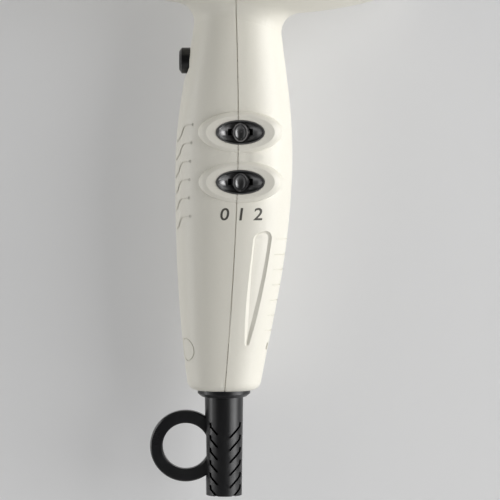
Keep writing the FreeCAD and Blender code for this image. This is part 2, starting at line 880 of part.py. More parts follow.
def lying_section(x, half_y, half_z, power):
    """A rounded-oval section across the barrel's axis as a closed spline."""
    points = []
    for i in range(SECTION_POINTS):
        angle = 2 * math.pi * i / SECTION_POINTS
        c, s = math.cos(angle), math.sin(angle)
        y = half_y * math.copysign(abs(c) ** (2 / power), c)
        z = half_z * math.copysign(abs(s) ** (2 / power), s)
        points.append(Vector(x, y, z))
    spline = Part.BSplineCurve()
    spline.interpolate(points, PeriodicFlag=True)
    return Part.Wire([spline.toShape()])


# ---------------------------------------------------------------- heater


def heater():
    front = SLEEVE_FRONT
    rear = as_size(-10.0)
    thin = 0.5
    gap = 1.2
    front_r = cone_radius(front, S.wall) - gap
    rear_r = cone_radius(rear, S.wall) - gap
    sleeve = [(front, front_r - thin), (rear, rear_r - thin), (rear, rear_r), (front, front_r)]
    keep("mica_sleeve", turned("mica_sleeve", sleeve))
    half = S.board_thickness / 2
    board_front, board_rear = front + 2, rear - 0.5
    slope = (rear_r - front_r) / (rear - front)
    edge_front = front_r - thin - 0.05 + slope * 2
    edge_rear = rear_r - thin - 0.05 - slope * 0.5
    blank = turned(
        "board_blank",
        [(board_front, 0), (board_rear, 0), (board_rear, edge_rear), (board_front, edge_front)],
    )
    length = board_rear - board_front
    wide = edge_rear * 2 + 4
    flat = centred_box(
        "board_flat", (length, S.board_thickness, wide), (board_front + length / 2, 0, 0)
    )
    upright = centred_box(
        "board_upright", (length, wide, S.board_thickness), (board_front + length / 2, 0, 0)
    )
    cross = common("board_cross", blank, fuse("board_pair", flat, upright))
    coils, notches = [], []
    for i in range(6):
        x = board_front + 7 + 10.6 * i
        middle = edge_front + (x - board_front) * slope - 5.0
        for kind, store, radius in (
            ("coil", coils, S.coil_radius),
            ("notch", notches, S.coil_radius + 0.1),
        ):
            torus = doc.addObject("Part::Torus", "%s_%d" % (kind, i))
            bind(torus, "Radius1", middle)
            bind(torus, "Radius2", radius)
            place(torus, x, 0, 0, TURNS["X"])
            store.append(torus)
    keep("mica_cross", cut("mica_cross", cross, *notches))
    keep("heating_coils", group("heating_coils", *coils))
    stat = centred_box("thermostat_base", (14, 1.4, 9), (board_front + 33, half + 0.75, 6.5))
    blade = centred_box("thermostat_blade", (12, 0.5, 4), (board_front + 33, half + 3.0, 6.5))
    post = centred_box("thermostat_post", (2.4, 2.2, 4), (board_front + 28, half + 2.3, 6.5))
    keep("thermostat", fuse("thermostat", stat, blade, post))
    fuse_body = cylinder("fuse_body", 1.9, 9, board_front + 14, half + 2.0, 6, "X")
    pins = cylinder("fuse_pins", 0.5, 15, board_front + 10, half + 2.0, 6, "X")
    keep("thermal_fuse", fuse("thermal_fuse", fuse_body, pins))


# ---------------------------------------------------------------- motor


STATOR_FRONT = as_size(11.5)


def motor():
    start = STATOR_FRONT
    end = start + S.stator_length
    radius, shaft = S.stator_radius, S.shaft_radius
    bore = S.armature_radius + S.fan_gap
    yoke = ring_of("stator_yoke", radius - 4.0, radius, start, end)
    pole_block = centred_box(
        "pole_block", (S.stator_length, 14, radius * 2 - 6), (start + S.stator_length / 2, 0, 0)
    )
    shoe = centred_box(
        "pole_shoe", (S.stator_length, 21, bore * 2 + 3), (start + S.stator_length / 2, 0, 0)
    )
    bore_tool = cylinder("stator_bore", bore, S.stator_length + 2, start - 1, axis="X")
    gap_tool = centred_box(
        "stator_gap", (S.stator_length + 2, 60, bore * 1.2), (start + S.stator_length / 2, 0, 0)
    )
    poles = cut("stator_poles", fuse("pole_pair", pole_block, shoe), bore_tool, gap_tool)
    ears = [start - 1, S.stator_length + 2]
    screw_r = radius - 2.0
    holes = [
        cylinder("stator_hole_%d" % i, 1.45, ears[1], ears[0], screw_r * side, 0, "X")
        for i, side in enumerate((-1, 1))
    ]
    keep("stator_core", cut("stator_core", fuse("stator_steel", yoke, poles), *holes))
    coils = []
    for i, side in enumerate((-1, 1)):
        middle = (bore + 1.5 + radius - 4.0) / 2 * side
        height = radius - 4.0 - bore - 1.5 - 1.8
        whole = centred_box(
            "field_coil_%d" % i,
            (S.stator_length + 7, 20, height),
            (start + S.stator_length / 2, 0, middle),
        )
        window = centred_box(
            "coil_window_%d" % i,
            (S.stator_length + 0.4, 14.4, height + 2),
            (start + S.stator_length / 2, 0, middle),
        )
        coil = cut("field_coil_shape_%d" % i, whole, window)
        coils.append(common("field_coil_fit_%d" % i, coil, coil_envelope(i)))
    keep("field_coils", group("field_coils", *coils))

    keep(
        "armature_core",
        ring_of("armature_core", shaft, S.armature_radius, start + 1, end - 1),
    )
    winding_r = S.armature_radius - 2.5
    windings = [
        ring_of("winding_front", shaft + 1.5, winding_r, start - 3.4, start + 0.95),
        ring_of("winding_rear", shaft + 1.5, winding_r, end - 0.95, end + 1.4),
    ]
    sleeve_front = ring_of("winding_sleeve_front", shaft, shaft + 1.5, start - 3.4, start + 0.95)
    sleeve_rear = ring_of("winding_sleeve_rear", shaft, shaft + 1.5, end - 0.95, end + 1.4)
    keep(
        "armature_windings",
        group(
            "armature_windings",
            fuse("winding_front_end", windings[0], sleeve_front),
            fuse("winding_rear_end", windings[1], sleeve_rear),
        ),
    )
    keep("commutator", ring_of("commutator", shaft, 6.0, start - 12, start - 3.6))
    bracket_front, bracket_rear = start - 17.0, end + 4.2
    shaft_start, shaft_end = bracket_front - 3.2, S.barrel_rear - 7.5
    shaft_corners = [
        (shaft_start, 0),
        (shaft_end, 0),
        (shaft_end, shaft - 0.3),
        (shaft_end - 0.3, shaft),
        (shaft_start + 0.3, shaft),
        (shaft_start, shaft - 0.3),
    ]
    keep("motor_shaft", turned("motor_shaft", shaft_corners))
    for name, x in (("front", bracket_front), ("rear", bracket_rear)):
        plate = ring_of(name + "_bracket_plate", S.bearing_radius, radius - 0.3, x, x + 2)
        hub_outer = S.bearing_radius + 1.8
        hub = ring_of(name + "_bracket_hub", S.bearing_radius, hub_outer, x - 1.2, x + 3)
        window = box(
            name + "_window", (4, 9, radius - hub_outer - 7.5), (x - 1, -4.5, hub_outer + 2)
        )
        windows = around_x(name + "_window_copy", window, 4, 45.0)
        holes = [
            cylinder(name + "_hole_%d" % i, 1.45, 4, x - 1, screw_r * side, 0, "X")
            for i, side in enumerate((-1, 1))
        ]
        blank = fuse(name + "_bracket_blank", plate, hub)
        keep(name + "_bearing_bracket", cut(name + "_bracket", blank, *windows, *holes))
        bearing_bore, bearing_rim = shaft + S.running_gap, S.bearing_radius - 0.02
        bearing = ring_of(name + "_bearing", bearing_bore, bearing_rim, x - 1.2, x + 3)
        keep(name + "_bearing", bearing)
    screws = []
    for i, side in enumerate((-1, 1)):
        at = screw_r * side
        shank = cylinder(
            "tie_shank_%d" % i, 1.3, bracket_rear - bracket_front + 4, bracket_front - 0.5, at, 0, "X"
        )
        head = cylinder("tie_head_%d" % i, 2.4, 1.8, bracket_front - 1.85, at, 0, "X")
        nut = cylinder("tie_nut_%d" % i, 2.6, 1.8, bracket_rear + 2.05, at, 0, "X")
        screws.append(fuse("tie_screw_%d" % i, shank, head, nut))
    keep("motor_tie_screws", group("motor_tie_screws", *screws))
    brushes, holders = [], []
    brush_x = start - 7.6
    for i, angle in enumerate((90.0, 270.0)):
        brush = centred_box("brush_%d" % i, (4, 4, 9), (brush_x, 0, 6.2 + 4.5))
        tube = centred_box("brush_tube_%d" % i, (6, 6, 9), (brush_x, 0, 7.6 + 4.5))
        bore_box = centred_box("brush_bore_%d" % i, (4.1, 4.1, 12), (brush_x, 0, 7.6 + 3.5))
        arm = box("brush_arm_%d" % i, (5.6, 3, 2), (bracket_front + 2.02, -1.5, 15.3))
        holder = fuse("brush_holder_%d" % i, cut("brush_sleeve_%d" % i, tube, bore_box), arm)
        turned_to = Rotation(Vector(1, 0, 0), angle)
        for part, store in ((brush, brushes), (holder, holders)):
            copy = doc.addObject("Part::Compound", part.Name + "_placed")
            copy.Links = [part]
            copy.Placement = Placement(Vector(), turned_to)
            store.append(copy)
    keep("carbon_brushes", group("carbon_brushes", *brushes))
    keep("brush_holders", group("brush_holders", *holders))


def coil_envelope(index):
    """Keeps a field coil inside the yoke."""
    return cylinder(
        "coil_envelope_%d" % index,
        S.stator_radius - 4.1,
        S.stator_length + 20,
        STATOR_FRONT - 10,
        axis="X",
    )


def fan():
    hub_front, hub_rear = S.barrel_rear - 19.0, S.barrel_rear - 8.0
    hub = turned(
        "fan_hub",
        [
            (hub_front, S.shaft_radius),
            (hub_rear, S.shaft_radius),
            (hub_rear, 5.0),
            (hub_rear - 2.5, 9.5),
            (hub_front, 10.0),
        ],
    )
    tip = S.duct_radius - S.fan_gap
    blade = centred_box("fan_blade_plate", (13.5, 1.3, 60), (0, 0, 30 + 8.0))
    tilted = doc.addObject("Part::Compound", "fan_blade_tilted")
    tilted.Links = [blade]
    tilted.Placement = Placement(Vector(), Rotation(Vector(0, 0, 1), 40))
    seated = doc.addObject("Part::Compound", "fan_blade_seated")
    seated.Links = [tilted]
    middle = (hub_front + hub_rear) / 2
    place(seated, middle - 0.4, 0, 0)
    blades = fuse("fan_blades_long", *around_x("fan_blade", seated, 9))
    sweep = turned(
        "fan_sweep",
        [
            (hub_front - 0.6, 8.0),
            (hub_rear - 0.6, 8.0),
            (hub_rear - 0.6, tip - 1.5),
            (hub_rear - 3.0, tip),
            (hub_front - 0.6, tip),
        ],
    )
    keep("fan_wheel", fuse("fan_wheel", hub, common("fan_blades", blades, sweep)))


def motor_mount():
    """The fan duct, with vanes that carry the motor and a flange held in the barrel."""
    inner, outer = S.duct_radius, S.duct_radius + S.duct_wall
    duct = turned(
        "duct_tube",
        [
            (DUCT_FRONT, inner),
            (DUCT_REAR, inner),
            (DUCT_REAR, outer),
            (DUCT_FRONT + 2, outer),
            (DUCT_FRONT + 2, rear_radius(DUCT_FRONT + 2, S.wall) - 0.2),
            (DUCT_FRONT, rear_radius(DUCT_FRONT + 2, S.wall) - 0.2),
        ],
    )
    cup_inner = S.stator_radius + S.fit_gap
    cup_end = STATOR_FRONT + S.stator_length
    cup = ring_of("motor_cup", cup_inner, cup_inner + 1.6, STATOR_FRONT + 2, cup_end)
    vane_size = (12, 1.4, inner - cup_inner + 0.2)
    vane = box("guide_vane", vane_size, (DUCT_FRONT + 1, -0.7, cup_inner + 0.8))
    vanes = around_x("guide_vane_copy", vane, 7)
    keep("motor_mount", fuse("motor_mount", duct, cup, *vanes))


# ---------------------------------------------------------------- rear cap


def rear_cap():
    start = S.barrel_rear + 0.15
    end = S.barrel_rear + S.cap_length
    rim = rear_radius(S.barrel_rear, 0)
    face = rim - 6.5
    wall = S.cap_wall
    spigot = rear_radius(S.barrel_rear, S.wall) - S.fit_gap
    body = doc.addObject("PartDesign::Body", "rear_cap")
    corners = [
        (start - 3.0, spigot - 1.6),
        (end - wall, spigot - 1.6 - 3.5),
        (end - wall, 0),
        (end, 0),
        (end, face - 2.0),
        (start + 5.5, rim - 0.9, 14.0),
        (start, rim),
        (start, spigot),
        (start - 3.0, spigot),
    ]
    sketch = outline_sketch(body, "rear_cap_outline", "XY_Plane", corners)
    spin = body.newObject("PartDesign::Revolution", "rear_cap_revolution")
    spin.Profile = sketch
    spin.ReferenceAxis = (sketch, ["H_Axis"])
    spin.Angle = 360
    doc.recompute()
    inner, outer = as_size(8.0), face - 4.0
    slot = outline_sketch(
        body,
        "rear_cap_slot_outline",
        "YZ_Plane",
        [(-0.8, inner), (0.8, inner), (1.35, outer), (-1.35, outer)],
    )
    pocket = body.newObject("PartDesign::Pocket", "rear_cap_slot")
    pocket.Profile = slot
    pocket.Type = 1
    pocket.Midplane = True
    doc.recompute()
    pattern = body.newObject("PartDesign::PolarPattern", "rear_cap_slots")
    pattern.Originals = [pocket]
    axis = [f for f in body.Origin.OriginFeatures if f.Role == "X_Axis"][0]
    pattern.Axis = (axis, [""])
    pattern.Angle = 360
    pattern.Occurrences = 24
    body.Tip = pattern
    keep("rear_cap", body)
    mesh_x = end - wall - 1.0
    keep("filter_mesh", cylinder("filter_mesh", face - 2.9, 0.8, mesh_x, axis="X"))


# ---------------------------------------------------------------- switches


def ellipsoid(name, half_x, half_y, half_z, at):
    thing = doc.addObject("Part::Ellipsoid", name)
    for side, value in (("Radius2", half_x), ("Radius3", half_y), ("Radius1", half_z)):
        bind(thing, side, value)
    return place(thing, *at)


def sliding_switch(prefix, height):
    x, face = S.switch_offset, PAD_FACE
    floor = -(face - S.bezel_sink)
    back = floor + S.bezel_depth
    front = -(face + S.bezel_proud)
    half_x, half_z, rim = S.bezel_half_width, S.bezel_half_height, S.bezel_rim
    flange = oval(prefix + "_bezel_flange", half_x, half_z, floor, front, x, height)
    shank = oval(
        prefix + "_bezel_shank", half_x - rim, half_z - rim, back, floor - 0.1, x, height
    )
    bowl = ellipsoid(
        prefix + "_bezel_bowl",
        half_x - S.bowl_rim,
        S.bowl_depth,
        half_z - S.bowl_rim,
        (x, front, height),
    )
    slot_size = (S.knob_travel * 2 + 3.2, 10, 2.4)
    slot = centred_box(prefix + "_bezel_slot", slot_size, (x, back, height))
    blank = fuse(prefix + "_bezel_blank", flange, shank)
    keep(prefix + "_switch_bezel", cut(prefix + "_bezel", blank, bowl, slot))

    knob_front = -(face + S.knob_proud)
    knob_back = front + S.bowl_depth - 1.5
    top_x, top_z = S.knob_half_width, S.knob_half_height
    knob = doc.addObject("Part::Loft", prefix + "_knob_top")
    knob.Sections = [
        oval_edge(prefix + "_knob_foot", top_x + 0.7, top_z - 0.8, knob_back, x, height),
        oval_edge(prefix + "_knob_face", top_x, top_z, knob_front, x, height),
    ]
    knob.Solid = True
    knob.Ruled = True
    dish = ellipsoid(
        prefix + "_knob_dish", top_x - 0.4, 1.4, top_z - 0.4, (x, knob_front, height)
    )
    stem_size = (2.8, 6.0, 2.0)
    stem = centred_box(prefix + "_knob_stem", stem_size, (x, knob_back + 2.9, height))
    shaped = cut(prefix + "_knob_cut", knob, dish)
    keep(prefix + "_slider_knob", fuse(prefix + "_knob", shaped, stem))

    deep = S.switch_block_depth
    block_size = (18.6, deep, 10)
    block = centred_box(prefix + "_block", block_size, (x, back + 0.05 + deep / 2, height))
    well_size = (S.knob_travel * 2 + 3.4, 7.0, 2.4)
    well = centred_box(prefix + "_well", well_size, (x, back + 0.05, height))
    tabs = []
    for i, step in enumerate((-6, 0, 6)):
        at = (x + step, back + deep + 2.0, height)
        tabs.append(centred_box("%s_tab_%d" % (prefix, i), (0.8, 4.0, 3.2), at))
    hollow = cut(prefix + "_block_cut", block, well)
    keep(prefix + "_switch_block", fuse(prefix + "_switch", hollow, *tabs))


def cold_shot():
    z, radius = BUTTON_Z, S.button_radius
    tip = BUTTON_FACE - S.button_proud
    inner_wall = BUTTON_FACE + S.wall
    flange_start = inner_wall + 0.35
    flange_end = flange_start + 1.0
    stem_end = flange_end + 3.4
    corners = [
        (tip, 0),
        (tip, radius - 1.3),
        (tip + 0.9, radius),
        (flange_start, radius),
        (flange_start, radius + S.button_flange),
        (flange_end, radius + S.button_flange),
        (flange_end, 1.2),
        (stem_end, 1.2),
        (stem_end, 0),
    ]
    button = turned("cold_shot_button", corners)
    place(button, 0, 0, z)
    keep("cold_shot_button", button)
    switch_face = stem_end + S.button_travel + 0.3
    body = centred_box("cold_switch_body", (7, 6.4, 17), (switch_face + 3.5, 0, z))
    tabs = [
        centred_box("cold_switch_tab_%d" % i, (3.5, 3, 0.8), (switch_face + 8.7, 0, z + step))
        for i, step in enumerate((-6, 0, 6))
    ]
    keep("cold_shot_switch", fuse("cold_shot_switch", body, *tabs))
    length = switch_face - flange_end
    wire = as_size(0.35)
    spring = doc.addObject("PartDesign::Body", "cold_shot_spring")
    section = spring.newObject("Sketcher::SketchObject", "spring_section")
    origin = [f for f in spring.Origin.OriginFeatures if f.Role == "XZ_Plane"][0]
    section.AttachmentSupport = (origin, [""])
    section.MapMode = "FlatFace"
    coil_radius = 2.4
    circle = Part.Circle(Vector(coil_radius, 0, 0), Vector(0, 0, 1), wire.number)
    section.addGeometry(circle, False)
    section.addConstraint(Sketcher.Constraint("PointOnObject", 0, 3, -1))
    section.addConstraint(Sketcher.Constraint("DistanceX", 0, 3, coil_radius))
    section.addConstraint(Sketcher.Constraint("Radius", 0, wire.number))
    coil = spring.newObject("PartDesign::AdditiveHelix", "spring_coil")
    coil.Profile = section
    coil.ReferenceAxis = (section, ["V_Axis"])
    coil.Mode = 2
    coil.Turns = 4
    bind(coil, "Height", length - wire * 2 - 0.1)
    section.Visibility = False
    place(spring, flange_end + wire + 0.05, 0, z, TURNS["X"])
    keep("cold_shot_spring", spring)


# ---------------------------------------------------------------- handle contents


def handle_contents():
    end, x = HANDLE_END, TAIL_X
    terminal = centred_box("terminal_base", (14, 9, 7), (x + 2.2, 0.5, end + 31))
    ways = [
        cylinder("terminal_way_%d" % i, 1.3, 20, x + 2.2 + step, 0.5, end + 21)
        for i, step in enumerate((-4, 0, 4))
    ]
    keep("terminal_block", cut("terminal_block", terminal, *ways))
    cap_z = end + 44.5
    body = centred_box("capacitor_body", (16, 7.5, 12), (-2.2, -6.2, cap_z))
    smooth = rounded("suppressor_capacitor", body, 0.8, lambda b: b.ZLength > 11)
    keep("suppressor_capacitor", smooth)
    choke = cylinder("choke_core", 3.6, 12, -8.0, 6.2, end + 35.2)
    wound = cylinder("choke_winding", 4.3, 9, -8.0, 6.2, end + 36.7)
    keep("choke", fuse("choke", choke, wound))
    clamp_z = end + 12.0
    bar = centred_box("clamp_bar", (17, 4.5, 6.5), (x + 0.4, 5.4, clamp_z))
    groove = cylinder("clamp_groove", S.cord_bore, 20, x, 1.2, clamp_z - 10)
    keep("cord_clamp", cut("cord_clamp", bar, groove))


def leads():
    """Insulated leads from the terminals up past the switches to the motor end."""
    end = float(HANDLE_END)
    shapes = []
    for i in range(3):
        low_x = -6.9 + 4.0 * i
        high_x = 9.5 + 2.6 * i
        points = [
            Vector(low_x, 0.5, end + 34.52),
            Vector(low_x + 0.3, 0.7, end + 46 + 1.5 * i),
            Vector(high_x - 4.5, 2.5, end + 58 + 1.5 * i),
            Vector(high_x - 1.5, 2.5, end + 72),
            Vector(high_x - 3.0, 1.8, end + 95),
            Vector(high_x - 4.0, 1.8, end + 120),
            Vector(high_x - 5.0, 1.8, end + 142),
        ]
        shapes.append(tube_along(points, 0.95))
    keep("lead_wires", feature("lead_wires", Part.Compound(shapes)))


def tube_along(points, radius):
    """A round tube along straight runs that are joined by tangent arcs."""
    edges, start = [], points[0]
    for before, corner, after in zip(points, points[1:], points[2:]):
        back = before - corner
        on = after - corner
        half_turn = (math.pi - back.getAngle(on)) / 2
        reach = 0.45 * min(back.Length, on.Length)
        bend = reach / math.tan(half_turn)
        back_unit, on_unit = back.normalize(), on.normalize()
        first, last = corner + back_unit * reach, corner + on_unit * reach
        inward = (back_unit + on_unit).normalize()
        middle = corner + inward * (bend / math.cos(half_turn) - bend)
        edges.append(Part.LineSegment(start, first).toShape())
        edges.append(Part.Arc(first, middle, last).toShape())
        start = last
    edges.append(Part.LineSegment(start, points[-1]).toShape())
    path = Part.Wire(edges)
    profile = Part.Wire([Part.makeCircle(radius, points[0], points[1] - points[0])])
    tube = path.makePipeShell([profile], True, False)
    section = math.pi * radius**2 * path.Length
    print("tube volume against section times length: %.4f" % (tube.Volume / section))
    return tube


def housing_screws():
    screws = []
    for i, (y, z) in enumerate(screw_places()):
        head_r, shank = S.screw_head_radius, S.screw_shank_radius
        head = cylinder("screw_head_%d" % i, head_r, 1.6, SCREW_HEAD_X + 0.02, axis="X")
        socket = cylinder("screw_socket_%d" % i, 0.7, 2, SCREW_HEAD_X + 0.8, axis="X")
        stem = cylinder(
            "screw_stem_%d" % i, shank, SCREW_HEAD_X - SCREW_TIP_X - 0.5, SCREW_TIP_X + 0.6, axis="X"
        )
        screw = cut("screw_%d" % i, fuse("screw_blank_%d" % i, head, stem), socket)
        screws.append(place(screw, 0, y, z))
    keep("housing_screws", group("housing_screws", *screws))


# ---------------------------------------------------------------- cord end


def strain_relief():
    end, x = HANDLE_END, TAIL_X
    sleeve, bore, cuff = S.sleeve_radius, S.cord_bore, S.cuff_radius
    neck = NECK_RADIUS
    tip = end - S.sleeve_length
    corners = [
        (bore, tip),
        (sleeve - 0.4, tip),
        (sleeve + 0.1, end - 2.6),
        (cuff - 1.3, end - 2.4),
        (cuff, end - 1.3),
        (cuff, end - 0.03),
        (neck, end - 0.03),
        (neck, end + 3.05),
        (neck + 1.6, end + 3.05),
        (neck + 1.6, end + 5.0),
        (neck, end + 6.0),
        (bore, end + 6.0),
    ]
    body = turned("relief_sleeve", corners, "Z")
    place(body, x, 0, 0)
    doc.recompute()
    drop, shift = float(S.ring_drop), float(S.ring_offset)
    centre = Vector(float(x) - shift, 0, float(end) - drop)
    thick = float(S.ring_thickness)
    low = centre - Vector(0, thick / 2, 0)
    ring = Part.makeCylinder(float(S.ring_radius), thick, low, Vector(0, 1, 0))
    eye = Part.makeCylinder(float(S.ring_bore), thick + 2, low - Vector(0, 1, 0), Vector(0, 1, 0))
    ring = ring.cut(eye)
    ring = ring.makeChamfer(0.5, [e for e in ring.Edges if e.BoundBox.YLength < 0.01])
    hole = Part.makeCylinder(float(bore), 80, Vector(float(x), 0, float(end) - 60))
    through = Part.makeCylinder(float(S.ring_bore), thick + 20, low, Vector(0, 1, 0))
    shape = body.Shape.fuse(ring).cut([hole, through])
    core = Part.makeCylinder(float(sleeve) - 1.5, 90, Vector(float(x), 0, float(end) - 70))
    web = Part.makeBox(40, 2.4, 90, Vector(float(x) - 20, -1.2, float(end) - 70))
    tools = [line.cut([core, web]) for line in relief_slots()]
    keep("strain_relief", feature("strain_relief", biggest(shape.cut(tools))))


def relief_slots():
    """Pairs of slanting slots down both faces of the sleeve, like herringbone."""
    x, end = float(TAIL_X), float(HANDLE_END)
    pitch, width = 4.53, 0.75
    slots = []
    for i in range(6):
        top = end - 12.15 - pitch * i
        if top - 1.0 < end - float(S.sleeve_length):
            break
        right = [
            Vector(x + 5.9, 0, top + 0.6),
            Vector(x + 5.6, 0, top - 1.0),
            Vector(x + 2.3, 0, top - 4.6),
        ]
        left = [
            Vector(x - 4.9, 0, top + 0.6),
            Vector(x - 4.7, 0, top - 1.0),
            Vector(x - 2.5, 0, top - 3.5),
        ]
        slots += [band(right, width), band(left, width)]
    return slots


# ---------------------------------------------------------------- build


def check(thing):
    if "Invalid" in thing.State or "Error" in thing.State:
        raise RuntimeError("%s failed to compute: %s" % (thing.Label, thing.State))


def main():
    housings()
    outlet()
    nozzle()
    heater()
    motor()
    fan()
    motor_mount()
    rear_cap()
    sliding_switch("speed", FIRST_SWITCH)
    sliding_switch("heat", SECOND_SWITCH)
    cold_shot()
    handle_contents()
    leads()
    housing_screws()
    strain_relief()
    doc.recompute()
    for thing in doc.Objects:
        check(thing)
    os.makedirs("parts", exist_ok=True)
    for thing in PIECES:
        shape = thing.Shape
        if shape.isNull() or not shape.isValid():
            raise RuntimeError(thing.Label + " has no valid shape")
        shape.exportStep("parts/%s.step" % thing.Label)
        print("%-24s %2d solids %10.1f mm3" % (thing.Label, len(shape.Solids), shape.Volume))


main()
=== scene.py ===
"""Finishes, marks, light and camera for a hand-held hair dryer."""

import math

import bmesh
import bpy
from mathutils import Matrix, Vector
from mathutils.bvhtree import BVHTree


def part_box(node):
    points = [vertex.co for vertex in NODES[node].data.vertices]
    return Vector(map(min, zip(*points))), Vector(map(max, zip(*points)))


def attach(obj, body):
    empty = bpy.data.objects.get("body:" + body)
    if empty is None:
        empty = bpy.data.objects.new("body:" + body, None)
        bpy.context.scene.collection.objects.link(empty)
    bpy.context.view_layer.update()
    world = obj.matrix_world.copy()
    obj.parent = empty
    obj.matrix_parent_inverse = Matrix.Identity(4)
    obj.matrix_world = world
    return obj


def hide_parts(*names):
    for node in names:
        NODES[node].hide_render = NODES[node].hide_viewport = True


bl_info = {
    "name": "Hair Dryer Finishes",
    "version": (1, 0, 0),
    "blender": (4, 5, 0),
    "location": "View3D > Sidebar > Hair Dryer",
    "description": "Materials, switch marks, gauze and studio for a hand-held hair dryer",
    "category": "Object",
}

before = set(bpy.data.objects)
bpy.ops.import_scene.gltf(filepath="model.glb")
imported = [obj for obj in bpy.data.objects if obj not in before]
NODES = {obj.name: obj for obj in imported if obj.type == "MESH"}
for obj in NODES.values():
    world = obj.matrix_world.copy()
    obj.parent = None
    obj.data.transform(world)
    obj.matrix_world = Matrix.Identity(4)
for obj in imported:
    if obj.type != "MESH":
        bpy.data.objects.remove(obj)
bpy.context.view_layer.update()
MM = 0.001


# ---------------------------------------------------------------- settings


class DryerSizes(bpy.types.PropertyGroup):
    mark_height: bpy.props.FloatProperty(
        name="Mark height", description="Height of the numbers under the switches",
        default=4.4 * MM, unit="LENGTH", precision=4,
    )
    mark_spacing: bpy.props.FloatProperty(
        name="Mark spacing", description="Distance between two numbers",
        default=5.85 * MM, unit="LENGTH", precision=4,
    )
    mark_drop: bpy.props.FloatProperty(
        name="Mark drop", description="From the lower switch's centre to the numbers' centre",
        default=11.4 * MM, unit="LENGTH", precision=4,
    )
    gauze_pitch: bpy.props.FloatProperty(
        name="Gauze pitch", description="Distance between two wires of the inlet gauze",
        default=0.9 * MM, unit="LENGTH", precision=5,
    )
    gauze_wire: bpy.props.FloatProperty(
        name="Gauze wire", description="Radius of a wire of the inlet gauze",
        default=0.14 * MM, unit="LENGTH", precision=5,
    )
    heating_wire: bpy.props.FloatProperty(
        name="Heating wire", description="Radius of the wire that the heating coils are wound from",
        default=0.22 * MM, unit="LENGTH", precision=5,
    )


class DryerColours(bpy.types.PropertyGroup):
    housing: bpy.props.FloatVectorProperty(
        name="Housing", description="Warm white of the two housings", subtype="COLOR",
        size=4, min=0, max=1, default=(0.80, 0.775, 0.69, 1),
    )
    lacquer: bpy.props.FloatVectorProperty(
        name="Switches", description="Black of the switch bowls and knobs", subtype="COLOR",
        size=4, min=0, max=1, default=(0.008, 0.008, 0.009, 1),
    )
    trim: bpy.props.FloatVectorProperty(
        name="Trim", description="Black of the cord sleeve, cap, collar and nozzle",
        subtype="COLOR", size=4, min=0, max=1, default=(0.007, 0.007, 0.008, 1),
    )
    marks: bpy.props.FloatVectorProperty(
        name="Marks", description="Ink of the numbers under the switches", subtype="COLOR",
        size=4, min=0, max=1, default=(0.09, 0.085, 0.07, 1),
    )


# ---------------------------------------------------------------- node wiring


class Wiring:
    """Adds nodes to one tree and joins their sockets."""

    def __init__(self, tree):
        self.tree = tree

    def add(self, kind, inputs=(), **settings):
        node = self.tree.nodes.new(kind)
        for name, value in settings.items():
            setattr(node, name, value)
        for name, value in dict(inputs).items():
            self.feed(node, name, value)
        return node

    def feed(self, node, name, value):
        socket = node.inputs[name]
        if isinstance(value, bpy.types.NodeSocket):
            self.tree.links.new(value, socket)
        else:
            socket.default_value = value

    def math(self, operation, first, second=0.0, clamp=False):
        node = self.add("ShaderNodeMath", {0: first, 1: second}, operation=operation)
        node.use_clamp = clamp
        return node.outputs[0]

    def span(self, value, low, high, start, end):
        inputs = {"Value": value, "From Min": low, "From Max": high, "To Min": start, "To Max": end}
        return self.add("ShaderNodeMapRange", inputs, clamp=True).outputs[0]

    def blend(self, factor, first, second, kind="MIX"):
        node = self.add("ShaderNodeMix", data_type="RGBA", blend_type=kind)
        self.feed(node, 0, factor)
        self.feed(node, 6, first)
        self.feed(node, 7, second)
        return node.outputs[2]


def new_group(name, inputs, outputs):
    """A shader group with named sockets: (tree, wiring, its inputs, its output node)."""
    tree = bpy.data.node_groups.new(name, "ShaderNodeTree")
    for label, kind, value in inputs:
        socket = tree.interface.new_socket(label, in_out="INPUT", socket_type=kind)
        socket.default_value = value
    for label, kind in outputs:
        tree.interface.new_socket(label, in_out="OUTPUT", socket_type=kind)
    wiring = Wiring(tree)
    entry = wiring.add("NodeGroupInput")
    result = wiring.add("NodeGroupOutput")
    return tree, wiring, entry.outputs, result


FLOAT, COLOUR = "NodeSocketFloat", "NodeSocketColor"


